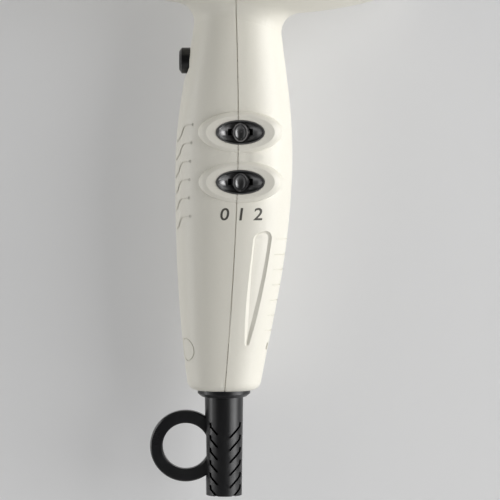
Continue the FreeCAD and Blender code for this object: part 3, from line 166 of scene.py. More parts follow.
def skin_group():
    """Fine moulded skin: slow tone drift, speckle, and a soft orange-peel height."""
    tree, w, given, result = new_group(
        "Moulded skin",
        [
            ("Colour", COLOUR, (0.5, 0.5, 0.5, 1)),
            ("Drift", FLOAT, 0.04),
            ("Drift scale", FLOAT, 18.0),
            ("Peel scale", FLOAT, 900.0),
            ("Roughness", FLOAT, 0.35),
            ("Spread", FLOAT, 0.06),
        ],
        [("Colour", COLOUR), ("Roughness", FLOAT), ("Height", FLOAT)],
    )
    place = w.add("ShaderNodeTexCoord").outputs["Object"]
    slow = w.add("ShaderNodeTexNoise", {"Vector": place, "Scale": given["Drift scale"], "Detail": 3.0})
    fine = w.add("ShaderNodeTexNoise", {"Vector": place, "Scale": given["Peel scale"], "Detail": 2.0})
    grit_scale = w.math("MULTIPLY", given["Peel scale"], 2.6)
    grit = w.add("ShaderNodeTexNoise", {"Vector": place, "Scale": grit_scale, "Detail": 1.0})
    dimming = w.math("MULTIPLY", w.span(slow.outputs[0], 0.3, 0.7, 0.0, 1.0), given["Drift"])
    speck = w.math("MULTIPLY", w.span(grit.outputs[0], 0.35, 0.65, 0.0, 1.0), given["Drift"])
    speck = w.math("MULTIPLY", speck, 0.35)
    shade = w.math("SUBTRACT", 1.0, w.math("ADD", dimming, speck))
    toned = w.add("ShaderNodeVectorMath", {0: given["Colour"]}, operation="SCALE")
    w.feed(toned, "Scale", shade)
    w.feed(result, "Colour", toned.outputs[0])
    wander = w.math("MULTIPLY", w.span(slow.outputs[0], 0.3, 0.7, -1.0, 1.0), given["Spread"])
    w.feed(result, "Roughness", w.math("ADD", given["Roughness"], wander, True))
    height = w.math("ADD", fine.outputs[0], w.math("MULTIPLY", grit.outputs[0], 0.35))
    w.feed(result, "Height", height)
    return tree


def rub_sheen_shade_group():
    """Lighter convex edges, from rubbing and on the knob a painted highlight, and painted shade
    darkening the concave creases, read from the curvature of the surface.
    """
    tree, w, given, result = new_group(
        "Edge rub, sheen and crease shade",
        [
            ("Colour", COLOUR, (0.5, 0.5, 0.5, 1)),
            ("Rub and sheen colour", COLOUR, (0.7, 0.7, 0.7, 1)),
            ("Crease shade colour", COLOUR, (0.1, 0.09, 0.07, 1)),
            ("Rub and sheen amount", FLOAT, 0.3),
            ("Crease shade", FLOAT, 0.3),
            ("Patch scale", FLOAT, 120.0),
        ],
        [("Colour", COLOUR), ("Rub and sheen", FLOAT)],
    )
    place = w.add("ShaderNodeTexCoord").outputs["Object"]
    patch = w.add("ShaderNodeTexNoise", {"Vector": place, "Scale": given["Patch scale"], "Detail": 4.0})
    broken = w.span(patch.outputs[0], 0.42, 0.62, 0.0, 1.0)
    bend = w.add("ShaderNodeNewGeometry").outputs["Pointiness"]
    edge = w.span(bend, 0.52, 0.60, 0.0, 1.0)
    crease = w.span(bend, 0.40, 0.485, 1.0, 0.0)
    # Convex edges take the lighter colour: rubbing, and on the knob a painted highlight.
    rubbed = w.math("MULTIPLY", w.math("MULTIPLY", edge, broken), given["Rub and sheen amount"], True)
    # Concave creases take a darker copy of the colour: painted shade.
    painted_shade = w.math("MULTIPLY", crease, given["Crease shade"], True)
    lightened_edges = w.blend(rubbed, given["Colour"], given["Rub and sheen colour"])
    w.feed(result, "Colour", w.blend(painted_shade, lightened_edges, given["Crease shade colour"]))
    w.feed(result, "Rub and sheen", rubbed)
    return tree


def scratch_group():
    """Short fine handling scratches in two directions."""
    tree, w, given, result = new_group(
        "Handling scratches",
        [("Scale", FLOAT, 60.0), ("Amount", FLOAT, 0.5)],
        [("Mask", FLOAT)],
    )
    place = w.add("ShaderNodeTexCoord").outputs["Object"]
    total = None
    for turn, stretch in ((0.6, 24.0), (-0.9, 30.0)):
        mapping = w.add("ShaderNodeMapping", {"Vector": place})
        mapping.inputs["Rotation"].default_value = (turn, turn * 0.7, turn * 1.3)
        mapping.inputs["Scale"].default_value = (1.0, stretch, stretch)
        noise = w.add("ShaderNodeTexNoise", {"Vector": mapping.outputs[0], "Detail": 1.0})
        w.feed(noise, "Scale", given["Scale"])
        line = w.span(noise.outputs[0], 0.66, 0.70, 0.0, 1.0)
        total = line if total is None else w.math("MAXIMUM", total, line)
    w.feed(result, "Mask", w.math("MULTIPLY", total, given["Amount"], True))
    return tree


def grain_group():
    """Long fine grain along one axis, as drawn, turned or laminated metal shows."""
    tree, w, given, result = new_group(
        "Drawn grain",
        [
            ("Along X", FLOAT, 1.0),
            ("Along Y", FLOAT, 1.0),
            ("Along Z", FLOAT, 1.0),
            ("Scale", FLOAT, 400.0),
        ],
        [("Value", FLOAT)],
    )
    place = w.add("ShaderNodeTexCoord").outputs["Object"]
    weights = w.add(
        "ShaderNodeCombineXYZ", {"X": given["Along X"], "Y": given["Along Y"], "Z": given["Along Z"]}
    )
    stretched = w.add("ShaderNodeVectorMath", {0: place, 1: weights.outputs[0]}, operation="MULTIPLY")
    noise = w.add("ShaderNodeTexNoise", {"Vector": stretched.outputs[0], "Scale": given["Scale"]})
    w.feed(noise, "Detail", 3.0)
    w.feed(result, "Value", noise.outputs[0])
    return tree


GROUPS = {}


def shared(name, maker):
    """The shader group of that name, built on first use."""
    if name not in GROUPS:
        GROUPS[name] = maker()
    return GROUPS[name]


def new_material(name):
    """A material with one Principled shader: (material, wiring, shader)."""
    material = bpy.data.materials.new(name)
    material.use_nodes = True
    material.node_tree.nodes.clear()
    w = Wiring(material.node_tree)
    shader = w.add("ShaderNodeBsdfPrincipled")
    output = w.add("ShaderNodeOutputMaterial")
    w.feed(output, "Surface", shader.outputs[0])
    return material, w, shader


def group_node(w, tree, inputs):
    """A node that runs a shared group: its outputs."""
    node = w.tree.nodes.new("ShaderNodeGroup")
    node.node_tree = tree
    for name, value in inputs.items():
        w.feed(node, name, value)
    return node.outputs


def moulded(name, colour, **how):
    """A moulded plastic or rubber finish with drift, peel, lighter rubbed edges (on the knob a painted
    highlight), painted shade in the creases, and scratches.
    """
    look = {
        "drift": 0.05, "drift_scale": 18.0, "peel": 900.0, "roughness": 0.35, "spread": 0.05,
        "bump": 0.05, "rubbed": None, "rubbing": 0.3, "grime": 0.3, "scratches": 0.3,
        "coat": 0.0, "coat_roughness": 0.1, "ior": 1.5,
    }
    look.update(how)
    colour = tuple(colour)
    rubbed = look["rubbed"] or tuple(min(1.0, c * 1.6 + 0.02) for c in colour[:3]) + (1,)
    material, w, shader = new_material(name)
    rub_sheen_shade = group_node(w, shared("rub_sheen_shade", rub_sheen_shade_group), {
        "Colour": colour, "Rub and sheen colour": rubbed,
        # A darker copy of the colour for the creases: painted shade.
        "Crease shade colour": tuple(c * 0.45 for c in colour[:3]) + (1,),
        "Rub and sheen amount": look["rubbing"], "Crease shade": look["grime"],
    })
    skin = group_node(w, shared("skin", skin_group), {
        "Colour": rub_sheen_shade["Colour"], "Drift": look["drift"], "Drift scale": look["drift_scale"],
        "Peel scale": look["peel"], "Roughness": look["roughness"], "Spread": look["spread"],
    })
    scratch = group_node(w, shared("scratch", scratch_group), {
        "Scale": 70.0, "Amount": look["scratches"],
    })
    w.feed(shader, "Base Color", skin["Colour"])
    rough = w.math("ADD", skin["Roughness"], w.math("MULTIPLY", rub_sheen_shade["Rub and sheen"], 0.15))
    rough = w.math("ADD", rough, w.math("MULTIPLY", scratch["Mask"], 0.18), True)
    w.feed(shader, "Roughness", rough)
    height = w.math("SUBTRACT", skin["Height"], w.math("MULTIPLY", scratch["Mask"], 0.6))
    bump = w.add("ShaderNodeBump", {"Height": height, "Strength": look["bump"], "Distance": 0.0001})
    w.feed(shader, "Normal", bump.outputs[0])
    shader.inputs["Coat Weight"].default_value = look["coat"]
    shader.inputs["Coat Roughness"].default_value = look["coat_roughness"]
    shader.inputs["IOR"].default_value = look["ior"]
    return material


def metal(name, colour, along, **how):
    """A metal finish with fine grain; along is how the grain is stretched on X, Y and Z."""
    look = {"roughness": 0.3, "spread": 0.15, "scale": 500.0, "bump": 0.15, "tarnish": 0.25}
    look.update(how)
    colour = tuple(colour)
    material, w, shader = new_material(name)
    grain = group_node(w, shared("grain", grain_group), {
        "Along X": along[0], "Along Y": along[1], "Along Z": along[2], "Scale": look["scale"],
    })
    place = w.add("ShaderNodeTexCoord").outputs["Object"]
    cloud = w.add("ShaderNodeTexNoise", {"Vector": place, "Scale": 60.0, "Detail": 4.0})
    dull = w.span(cloud.outputs[0], 0.45, 0.7, 0.0, look["tarnish"])
    deep = tuple(c * 0.55 for c in colour[:3]) + (1,)
    streak = w.blend(w.span(grain["Value"], 0.35, 0.65, 0.0, 0.35), colour, deep)
    w.feed(shader, "Base Color", w.blend(dull, streak, deep))
    low, high = look["roughness"] - look["spread"] / 2, look["roughness"] + look["spread"] / 2
    drawn = w.span(grain["Value"], 0.3, 0.7, low, high)
    rough = w.math("ADD", drawn, w.math("MULTIPLY", dull, 0.5), True)
    w.feed(shader, "Roughness", rough)
    shader.inputs["Metallic"].default_value = 1.0
    bump = w.add("ShaderNodeBump", {
        "Height": grain["Value"], "Strength": look["bump"], "Distance": 0.0001,
    })
    w.feed(shader, "Normal", bump.outputs[0])
    return material


def banded(name, colour, other, axis, pitch, **how):
    """Bands of a given pitch along one axis: stacked laminations, wound wire or layered board."""
    look = {"roughness": 0.4, "metallic": 1.0, "bump": 0.6, "sharp": 0.25}
    look.update(how)
    material, w, shader = new_material(name)
    place = w.add("ShaderNodeTexCoord").outputs["Object"]
    parts = w.add("ShaderNodeSeparateXYZ", {"Vector": place})
    phase = w.math("MULTIPLY", parts.outputs[axis], 2 * math.pi / pitch)
    wave = w.span(w.math("SINE", phase), -1.0, 1.0, 0.0, 1.0)
    edge = w.span(wave, look["sharp"], 1.0 - look["sharp"], 0.0, 1.0)
    cloud = w.add("ShaderNodeTexNoise", {"Vector": place, "Scale": 150.0, "Detail": 4.0})
    toned = w.blend(w.span(cloud.outputs[0], 0.35, 0.7, 0.0, 0.5), tuple(colour), tuple(other))
    w.feed(shader, "Base Color", w.blend(edge, tuple(other), toned))
    low = look["roughness"]
    w.feed(shader, "Roughness", w.span(cloud.outputs[0], 0.3, 0.7, low - 0.08, low + 0.12))
    shader.inputs["Metallic"].default_value = look["metallic"]
    bump = w.add("ShaderNodeBump", {"Height": wave, "Strength": look["bump"], "Distance": pitch * 0.3})
    w.feed(shader, "Normal", bump.outputs[0])
    return material


def dress(material, *names):
    """Gives CAD nodes or pieces their material."""
    for name in names:
        thing = NODES.get(name) or bpy.data.objects[name]
        thing.data.materials.clear()
        thing.data.materials.append(material)


# ---------------------------------------------------------------- finishes


class HAIR_DRYER_OT_housings(bpy.types.Operator):
    """Warm white semi-gloss moulding for the two housings"""

    bl_idname = "hair_dryer.housings"
    bl_label = "Finish the Housings"

    def execute(self, context):
        colour = context.scene.dryer_colours.housing
        # The housing's creases are darkened with painted shade; its edges are lightened as rubbing.
        skin = moulded(
            "ivory_housing", colour, drift=0.035, drift_scale=14.0, peel=700.0,
            roughness=0.46, spread=0.04, bump=0.035, rubbed=(0.86, 0.84, 0.78, 1),
            rubbing=0.35, grime=0.5, scratches=0.18, coat=0.12, coat_roughness=0.3,
        )
        dress(skin, "front_housing", "rear_housing")
        return {"FINISHED"}


class HAIR_DRYER_OT_switches(bpy.types.Operator):
    """Gloss black for the switch bowls and their knobs"""

    bl_idname = "hair_dryer.switches"
    bl_label = "Finish the Switches"

    def execute(self, context):
        colour = context.scene.dryer_colours.lacquer
        bowl = moulded(
            "gloss_black_bowl", colour, drift=0.2, peel=500.0, roughness=0.3, spread=0.03,
            bump=0.005, rubbing=0.15, grime=0.2, scratches=0.05, ior=5.0,
        )
        # The knob's grey rim is a painted highlight, laid on as edge colour at full strength.
        knob = moulded(
            "black_knob", colour, drift=0.2, peel=900.0, roughness=0.34, spread=0.05,
            bump=0.04, rubbed=(0.30, 0.29, 0.28, 1), rubbing=1.0, grime=0.2, scratches=0.3,
            coat=0.1, coat_roughness=0.3, ior=2.2,
        )
        dress(bowl, "speed_switch_bezel", "heat_switch_bezel")
        dress(knob, "speed_slider_knob", "heat_slider_knob")
        return {"FINISHED"}


class HAIR_DRYER_OT_trim(bpy.types.Operator):
    """Satin black for the cord sleeve, button, cap, collar and nozzle"""

    bl_idname = "hair_dryer.trim"
    bl_label = "Finish the Black Trim"

    def execute(self, context):
        colour = context.scene.dryer_colours.trim
        rubber = moulded(
            "satin_black_rubber", colour, drift=0.25, drift_scale=40.0, peel=1500.0,
            roughness=0.3, spread=0.05, bump=0.06, rubbing=0.35, grime=0.2, scratches=0.25,
        )
        hard = moulded(
            "satin_black_moulding", colour, drift=0.2, drift_scale=30.0, peel=2200.0,
            roughness=0.36, spread=0.05, bump=0.16, rubbing=0.4, grime=0.25, scratches=0.35,
        )
        button = moulded(
            "black_button", colour, drift=0.2, peel=1200.0, roughness=0.3, spread=0.05,
            bump=0.06, rubbing=0.6, grime=0.2, scratches=0.35, coat=0.15,
        )
        dress(rubber, "strain_relief")
        dress(hard, "rear_cap", "outlet_collar", "concentrator_nozzle")
        dress(button, "cold_shot_button")
        return {"FINISHED"}


class HAIR_DRYER_OT_heater(bpy.types.Operator):
    """Layered mica, drawn wire and small fittings for the heater"""

    bl_idname = "hair_dryer.heater"
    bl_label = "Finish the Heater"

    def execute(self, context):
        mica = banded(
            "layered_mica", (0.50, 0.42, 0.27, 1), (0.33, 0.27, 0.17, 1), "X", 3.1 * MM,
            metallic=0.0, roughness=0.38, bump=0.15, sharp=0.05,
        )
        wire = metal("resistance_wire", (0.42, 0.36, 0.33, 1), (1, 1, 1), roughness=0.42, scale=900.0)
        plated = metal("zinc_plate", (0.62, 0.62, 0.60, 1), (1, 12, 12), roughness=0.3)
        brass = metal("pressed_brass", (0.72, 0.52, 0.22, 1), (1, 10, 10), roughness=0.32)
        dress(mica, "mica_sleeve", "mica_cross")
        dress(wire, "heating_coils")
        oxide = metal("black_oxide", (0.03, 0.03, 0.032, 1), (1, 12, 12), roughness=0.45)
        dress(plated, "outlet_grille", "thermal_fuse", "cold_shot_spring")
        dress(oxide, "housing_screws")
        dress(brass, "thermostat", "brush_holders")
        return {"FINISHED"}


class HAIR_DRYER_OT_motor(bpy.types.Operator):
    """Laminated steel, wound copper, carbon and moulded parts for the motor and fan"""

    bl_idname = "hair_dryer.motor"
    bl_label = "Finish the Motor and Fan"

    def execute(self, context):
        stack = banded(
            "laminated_steel", (0.32, 0.32, 0.33, 1), (0.12, 0.12, 0.13, 1), "X", 0.7 * MM,
            roughness=0.45, bump=0.5,
        )
        winding = banded(
            "wound_copper", (0.66, 0.27, 0.10, 1), (0.30, 0.11, 0.04, 1), "X", 0.6 * MM,
            roughness=0.3, bump=0.8,
        )
        bars = metal("turned_copper", (0.80, 0.42, 0.24, 1), (20, 1, 1), roughness=0.28)
        steel = metal("turned_steel", (0.58, 0.58, 0.59, 1), (20, 1, 1), roughness=0.24)
        pressed = metal("pressed_aluminium", (0.66, 0.67, 0.68, 1), (2, 14, 2), roughness=0.36)
        graphite = moulded(
            "graphite", (0.03, 0.03, 0.032, 1), drift=0.4, peel=2600.0, roughness=0.6, bump=0.3
        )
        glass_filled = moulded(
            "glass_filled_nylon", (0.035, 0.036, 0.04, 1), drift=0.3, drift_scale=60.0,
            peel=1800.0, roughness=0.5, bump=0.2, rubbing=0.3,
        )
        dress(stack, "stator_core", "armature_core")
        dress(winding, "field_coils", "armature_windings")
        dress(bars, "commutator")
        dress(steel, "motor_shaft", "front_bearing", "rear_bearing", "motor_tie_screws")
        dress(pressed, "front_bearing_bracket", "rear_bearing_bracket")
        dress(graphite, "carbon_brushes")
        dress(glass_filled, "motor_mount", "fan_wheel", "cord_clamp")
        return {"FINISHED"}


class HAIR_DRYER_OT_wiring(bpy.types.Operator):
    """Switch blocks, suppression parts, terminals and leads"""

    bl_idname = "hair_dryer.wiring"
    bl_label = "Finish the Wiring"

    def execute(self, context):
        block = moulded(
            "switch_block", (0.03, 0.03, 0.032, 1), drift=0.3, peel=1600.0, roughness=0.48, bump=0.15
        )
        nylon = moulded(
            "natural_nylon", (0.70, 0.69, 0.62, 1), drift=0.08, peel=1200.0, roughness=0.42,
            bump=0.08, coat=0.1,
        )
        case = moulded(
            "capacitor_case", (0.55, 0.36, 0.05, 1), drift=0.1, peel=1000.0, roughness=0.3, bump=0.06
        )
        sleeve = moulded(
            "lead_sleeve", (0.62, 0.61, 0.58, 1), drift=0.12, peel=2400.0, roughness=0.5, bump=0.12
        )
        dress(block, "speed_switch_block", "heat_switch_block", "cold_shot_switch", "choke")
        dress(nylon, "terminal_block")
        dress(case, "suppressor_capacitor")
        dress(sleeve, "lead_wires")
        return {"FINISHED"}


# ---------------------------------------------------------------- marks


# The numbers' letterform, and how the ink lies on the housing.
FIGURE_SLANT = 0.12
FIGURE_BOLDNESS = 0.012
FIGURE_STRETCH = 1.1
INK_THICKNESS = 0.03 * MM
INK_GRID = 0.5 * MM
MARK_SHIFT = 0.3 * MM


def surface_tree(*names):
    """A tree for finding where a line meets the surface of these CAD nodes."""
    corners, faces = [], []
    for name in names:
        mesh = NODES[name].data
        first = len(corners)
        corners += [v.co.copy() for v in mesh.vertices]
        faces += [[first + i for i in p.vertices] for p in mesh.polygons]
    return BVHTree.FromPolygons(corners, faces)


def printed_number(text, height, x, z, surface):
    """A thin printed figure that lies on the near side of the housing."""
    curve = bpy.data.curves.new("figure_" + text, "FONT")
    curve.body = text
    curve.size = 1.0
    curve.shear = FIGURE_SLANT
    curve.align_x = "CENTER"
    curve.resolution_u = 12
    curve.offset = FIGURE_BOLDNESS
    holder = bpy.data.objects.new("figure_" + text, curve)
    bpy.context.scene.collection.objects.link(holder)
    bpy.context.view_layer.update()
    mesh = bpy.data.meshes.new_from_object(holder)
    bpy.data.objects.remove(holder)
    tall = [v.co.y for v in mesh.vertices]
    wide = [v.co.x for v in mesh.vertices]
    scale = height / (max(tall) - min(tall))
    middle = ((max(wide) + min(wide)) / 2, (max(tall) + min(tall)) / 2)
    form = bmesh.new()
    form.from_mesh(mesh)
    bmesh.ops.triangulate(form, faces=form.faces)
    for _ in range(2):
        long_edges = [e for e in form.edges if e.calc_length() * scale > INK_GRID]
        bmesh.ops.subdivide_edges(form, edges=long_edges, cuts=2)
        bmesh.ops.triangulate(form, faces=form.faces)
    for v in form.verts:
        across = (v.co.x - middle[0]) * scale * FIGURE_STRETCH + x
        at = Vector((across, -0.1, (v.co.y - middle[1]) * scale + z))
        hit, _normal, _index, _distance = surface.ray_cast(at, Vector((0, 1, 0)))
        if hit is None:
            raise RuntimeError("figure %s misses the housing" % text)
        v.co = hit - Vector((0, INK_THICKNESS, 0))
    bmesh.ops.recalc_face_normals(form, faces=form.faces)
    if sum(f.normal.y for f in form.faces) > 0:
        bmesh.ops.reverse_faces(form, faces=form.faces)
    plain = bpy.data.meshes.new("position_mark_" + text)
    form.to_mesh(plain)
    form.free()
    piece = bpy.data.objects.new("position_mark_" + text, plain)
    bpy.context.scene.collection.objects.link(piece)
    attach(piece, "dryer")
    return piece


class HAIR_DRYER_OT_marks(bpy.types.Operator):
    """Printed numbers under the lower switch"""

    bl_idname = "hair_dryer.marks"
    bl_label = "Print the Switch Marks"

    def execute(self, context):
        sizes = context.scene.dryer_sizes
        low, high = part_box("heat_switch_bezel")
        centre = (low + high) / 2
        surface = surface_tree("front_housing", "rear_housing")
        ink = moulded(
            "printed_ink", context.scene.dryer_colours.marks, drift=0.3, drift_scale=300.0,
            peel=1500.0, roughness=0.5, bump=0.05, rubbing=0.0, grime=0.0, scratches=0.2,
        )
        for i, text in enumerate("012"):
            x = centre.x + (i - 1) * sizes.mark_spacing + MARK_SHIFT
            piece = printed_number(
                text, sizes.mark_height, x, centre.z - sizes.mark_drop, surface
            )
            dress(ink, piece.name)
        return {"FINISHED"}


# ---------------------------------------------------------------- repeated wires


# The gauze rim's radius, and the step from turn to turn of a coil, both in wire radii.
GAUZE_RIM = 2.4
COIL_TURN = 4.2


def geometry_tree(name, inputs):
    """A geometry tree: (tree, wiring, its inputs, its output node)."""
    tree = bpy.data.node_groups.new(name, "GeometryNodeTree")
    tree.interface.new_socket("Geometry", in_out="INPUT", socket_type="NodeSocketGeometry")
    for label, kind, value in inputs:
        socket = tree.interface.new_socket(label, in_out="INPUT", socket_type=kind)
        if value is not None:
            socket.default_value = value
    tree.interface.new_socket("Geometry", in_out="OUTPUT", socket_type="NodeSocketGeometry")
    w = Wiring(tree)
    entry = w.add("NodeGroupInput")
    result = w.add("NodeGroupOutput")
    return tree, w, entry.outputs, result


def made_by(tree, name, values, body):
    """Runs a geometry tree on an empty mesh and keeps the plain mesh it gives."""
    holder = bpy.data.objects.new(name, bpy.data.meshes.new(name))
    bpy.context.scene.collection.objects.link(holder)
    modifier = holder.modifiers.new(name, "NODES")
    modifier.node_group = tree
    for item in tree.interface.items_tree:
        if item.item_type == "SOCKET" and item.in_out == "INPUT" and item.name in values:
            modifier[item.identifier] = values[item.name]
    bpy.context.view_layer.update()
    graph = bpy.context.evaluated_depsgraph_get()
    mesh = bpy.data.meshes.new_from_object(holder.evaluated_get(graph))
    holder.modifiers.remove(modifier)
    holder.data = mesh
    mesh.name = name
    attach(holder, body)
    return holder


def gauze_tree():
    """Crossed woven wires trimmed to a disc that faces along X."""
    tree, w, given, result = geometry_tree(
        "Inlet gauze",
        [
            ("Radius", "NodeSocketFloat", 0.02),
            ("Place X", "NodeSocketFloat", 0.0),
            ("Pitch", "NodeSocketFloat", 0.001),
            ("Wire radius", "NodeSocketFloat", 0.0002),
            ("Material", "NodeSocketMaterial", None),
        ],
    )
    count = w.math("FLOOR", w.math("DIVIDE", w.math("MULTIPLY", given["Radius"], 2.0), given["Pitch"]))
    reach = w.math("MULTIPLY", w.math("MULTIPLY", count, given["Pitch"]), 0.5)
    runs = []
    for turned in (False, True):
        line = w.add("GeometryNodeMeshLine", mode="OFFSET")
        w.feed(line, "Count", w.math("ADD", count, 1.0))
        start = w.add("ShaderNodeCombineXYZ")
        step = w.add("ShaderNodeCombineXYZ")
        w.feed(start, "X", given["Place X"])
        w.feed(start, "Z" if turned else "Y", w.math("MULTIPLY", reach, -1.0))
        w.feed(step, "Z" if turned else "Y", given["Pitch"])
        w.feed(line, "Start Location", start.outputs[0])
        w.feed(line, "Offset", step.outputs[0])
        place = w.add("GeometryNodeInputPosition")
        parts = w.add("ShaderNodeSeparateXYZ", {"Vector": place.outputs[0]})
        off = parts.outputs["Z" if turned else "Y"]
        square = w.math("SUBTRACT", w.math("MULTIPLY", given["Radius"], given["Radius"]),
                        w.math("MULTIPLY", off, off))
        half = w.math("SQRT", w.math("MAXIMUM", square, 0.0))
        wire = w.add("GeometryNodeCurvePrimitiveLine")
        begin = w.add("ShaderNodeCombineXYZ")
        finish = w.add("ShaderNodeCombineXYZ")
        w.feed(begin, "Y" if turned else "Z", -1.0)
        w.feed(finish, "Y" if turned else "Z", 1.0)
        w.feed(wire, "Start", begin.outputs[0])
        w.feed(wire, "End", finish.outputs[0])
        scale = w.add("ShaderNodeCombineXYZ", {"X": 1.0, "Y": 1.0, "Z": 1.0})
        w.feed(scale, "Y" if turned else "Z", half)
        copies = w.add("GeometryNodeInstanceOnPoints", {
            "Points": line.outputs[0], "Instance": wire.outputs[0], "Scale": scale.outputs[0],
        })
        real = w.add("GeometryNodeRealizeInstances", {"Geometry": copies.outputs[0]})
        fine = w.add("GeometryNodeResampleCurve", {"Curve": real.outputs[0]})
        w.feed(fine, "Count", 60)
        where = w.add("GeometryNodeInputPosition")
        axes = w.add("ShaderNodeSeparateXYZ", {"Vector": where.outputs[0]})
        along = axes.outputs["Y" if turned else "Z"]
        across = axes.outputs["Z" if turned else "Y"]
        phase = w.math("DIVIDE", along, given["Pitch"])
        line_number = w.math("ROUND", w.math("DIVIDE", w.math("ADD", across, reach), given["Pitch"]))
        other = w.math("ADD", phase, line_number)
        shift = 0.0 if turned else 1.0
        sway = w.math("SINE", w.math("MULTIPLY", w.math("ADD", other, shift), math.pi))
        lift = w.add("ShaderNodeCombineXYZ")
        w.feed(lift, "X", w.math("MULTIPLY", sway, given["Wire radius"]))
        woven = w.add("GeometryNodeSetPosition", {
            "Geometry": fine.outputs[0], "Offset": lift.outputs[0],
        })
        runs.append(woven.outputs[0])
    both = w.add("GeometryNodeJoinGeometry")
    for run in runs:
        tree.links.new(run, both.inputs[0])
    ring = w.add("GeometryNodeCurvePrimitiveCircle", {"Radius": given["Radius"]})
    ring.inputs["Resolution"].default_value = 96
    turn = w.add("GeometryNodeTransform", {"Geometry": ring.outputs[0]})
    turn.inputs["Rotation"].default_value = (0, math.pi / 2, 0)
    move = w.add("ShaderNodeCombineXYZ", {"X": given["Place X"]})
    w.feed(turn, "Translation", move.outputs[0])
    section = w.add("GeometryNodeCurvePrimitiveCircle", {"Radius": given["Wire radius"]})
    section.inputs["Resolution"].default_value = 6
    thin = w.add("GeometryNodeCurveToMesh", {
        "Curve": both.outputs[0], "Profile Curve": section.outputs[0], "Fill Caps": True,
    })
    rim_section = w.add("GeometryNodeCurvePrimitiveCircle")
    w.feed(rim_section, "Radius", w.math("MULTIPLY", given["Wire radius"], GAUZE_RIM))
    rim_section.inputs["Resolution"].default_value = 10
    rim = w.add("GeometryNodeCurveToMesh", {
        "Curve": turn.outputs[0], "Profile Curve": rim_section.outputs[0],
    })
    joined = w.add("GeometryNodeJoinGeometry")
    tree.links.new(thin.outputs[0], joined.inputs[0])
    tree.links.new(rim.outputs[0], joined.inputs[0])
    smooth = w.add("GeometryNodeSetShadeSmooth", {"Geometry": joined.outputs[0]})
    real = w.add("GeometryNodeRealizeInstances", {"Geometry": smooth.outputs[0]})
    coat = w.add("GeometryNodeSetMaterial", {"Geometry": real.outputs[0], "Material": given["Material"]})
    w.feed(result, "Geometry", coat.outputs[0])
    return tree


class HAIR_DRYER_OT_gauze(bpy.types.Operator):
    """Woven wire gauze behind the slots of the rear cap"""

    bl_idname = "hair_dryer.gauze"
    bl_label = "Weave the Inlet Gauze"

    def execute(self, context):
        sizes = context.scene.dryer_sizes
        low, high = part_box("filter_mesh")
        steel = metal("gauze_wire", (0.55, 0.55, 0.54, 1), (1, 1, 1), roughness=0.34, scale=1200.0)
        rim = sizes.gauze_wire * GAUZE_RIM
        piece = made_by(
            gauze_tree(), "inlet_gauze",
            {
                "Radius": high.y - rim,
                "Place X": (low.x + high.x) / 2,
                "Pitch": sizes.gauze_pitch,
                "Wire radius": sizes.gauze_wire,
                "Material": steel,
            },
            "rear_cap",
        )
        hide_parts("filter_mesh")
        return {"FINISHED"}


def coil_tree():
    """Helical heating wire wound round a ring about the X axis."""
    tree, w, given, result = geometry_tree(
        "Heating coil",
        [
            ("Ring radius", "NodeSocketFloat", 0.02),
            ("Place X", "NodeSocketFloat", 0.0),
            ("Coil radius", "NodeSocketFloat", 0.0012),
            ("Turns", "NodeSocketInt", 60),
            ("Wire radius", "NodeSocketFloat", 0.0002),
            ("Material", "NodeSocketMaterial", None),
        ],
    )
    ring = w.add("GeometryNodeCurvePrimitiveCircle", {"Radius": 1.0})
    w.feed(ring, "Resolution", w.math("MULTIPLY", given["Turns"], 10.0))
    share = w.add("GeometryNodeSplineParameter").outputs["Factor"]
    round_ring = w.math("MULTIPLY", share, 2 * math.pi)
    winding = w.math("MULTIPLY", round_ring, given["Turns"])
    reach = w.math("ADD", given["Ring radius"],
                   w.math("MULTIPLY", w.math("COSINE", winding), given["Coil radius"]))
    at = w.add("ShaderNodeCombineXYZ")
    w.feed(at, "X", w.math("ADD", given["Place X"],
                           w.math("MULTIPLY", w.math("SINE", winding), given["Coil radius"])))
    w.feed(at, "Y", w.math("MULTIPLY", reach, w.math("COSINE", round_ring)))
    w.feed(at, "Z", w.math("MULTIPLY", reach, w.math("SINE", round_ring)))
    helix = w.add("GeometryNodeSetPosition", {"Geometry": ring.outputs[0], "Position": at.outputs[0]})
    section = w.add("GeometryNodeCurvePrimitiveCircle", {"Radius": given["Wire radius"]})
    section.inputs["Resolution"].default_value = 5
    wire = w.add("GeometryNodeCurveToMesh", {
        "Curve": helix.outputs[0], "Profile Curve": section.outputs[0],
    })
    smooth = w.add("GeometryNodeSetShadeSmooth", {"Geometry": wire.outputs[0]})
    real = w.add("GeometryNodeRealizeInstances", {"Geometry": smooth.outputs[0]})
    coat = w.add("GeometryNodeSetMaterial", {"Geometry": real.outputs[0], "Material": given["Material"]})
    w.feed(result, "Geometry", coat.outputs[0])
    return tree


def islands(mesh):
    """Boxes (low, high) of the separate closed shells of a CAD mesh."""
    form = bmesh.new()
    form.from_mesh(mesh)
    bmesh.ops.remove_doubles(form, verts=form.verts, dist=1e-6)
    seen, boxes = set(), []
    for start in form.verts:
        if start in seen:
            continue
        stack, members = [start], []
        seen.add(start)
        while stack:
            v = stack.pop()
            members.append(v.co.copy())
            for e in v.link_edges:
                other = e.other_vert(v)
                if other not in seen:
                    seen.add(other)
                    stack.append(other)
        low = Vector([min(c[i] for c in members) for i in range(3)])
        high = Vector([max(c[i] for c in members) for i in range(3)])
        boxes.append((low, high))
    form.free()
    return sorted(boxes, key=lambda box: box[0].x)


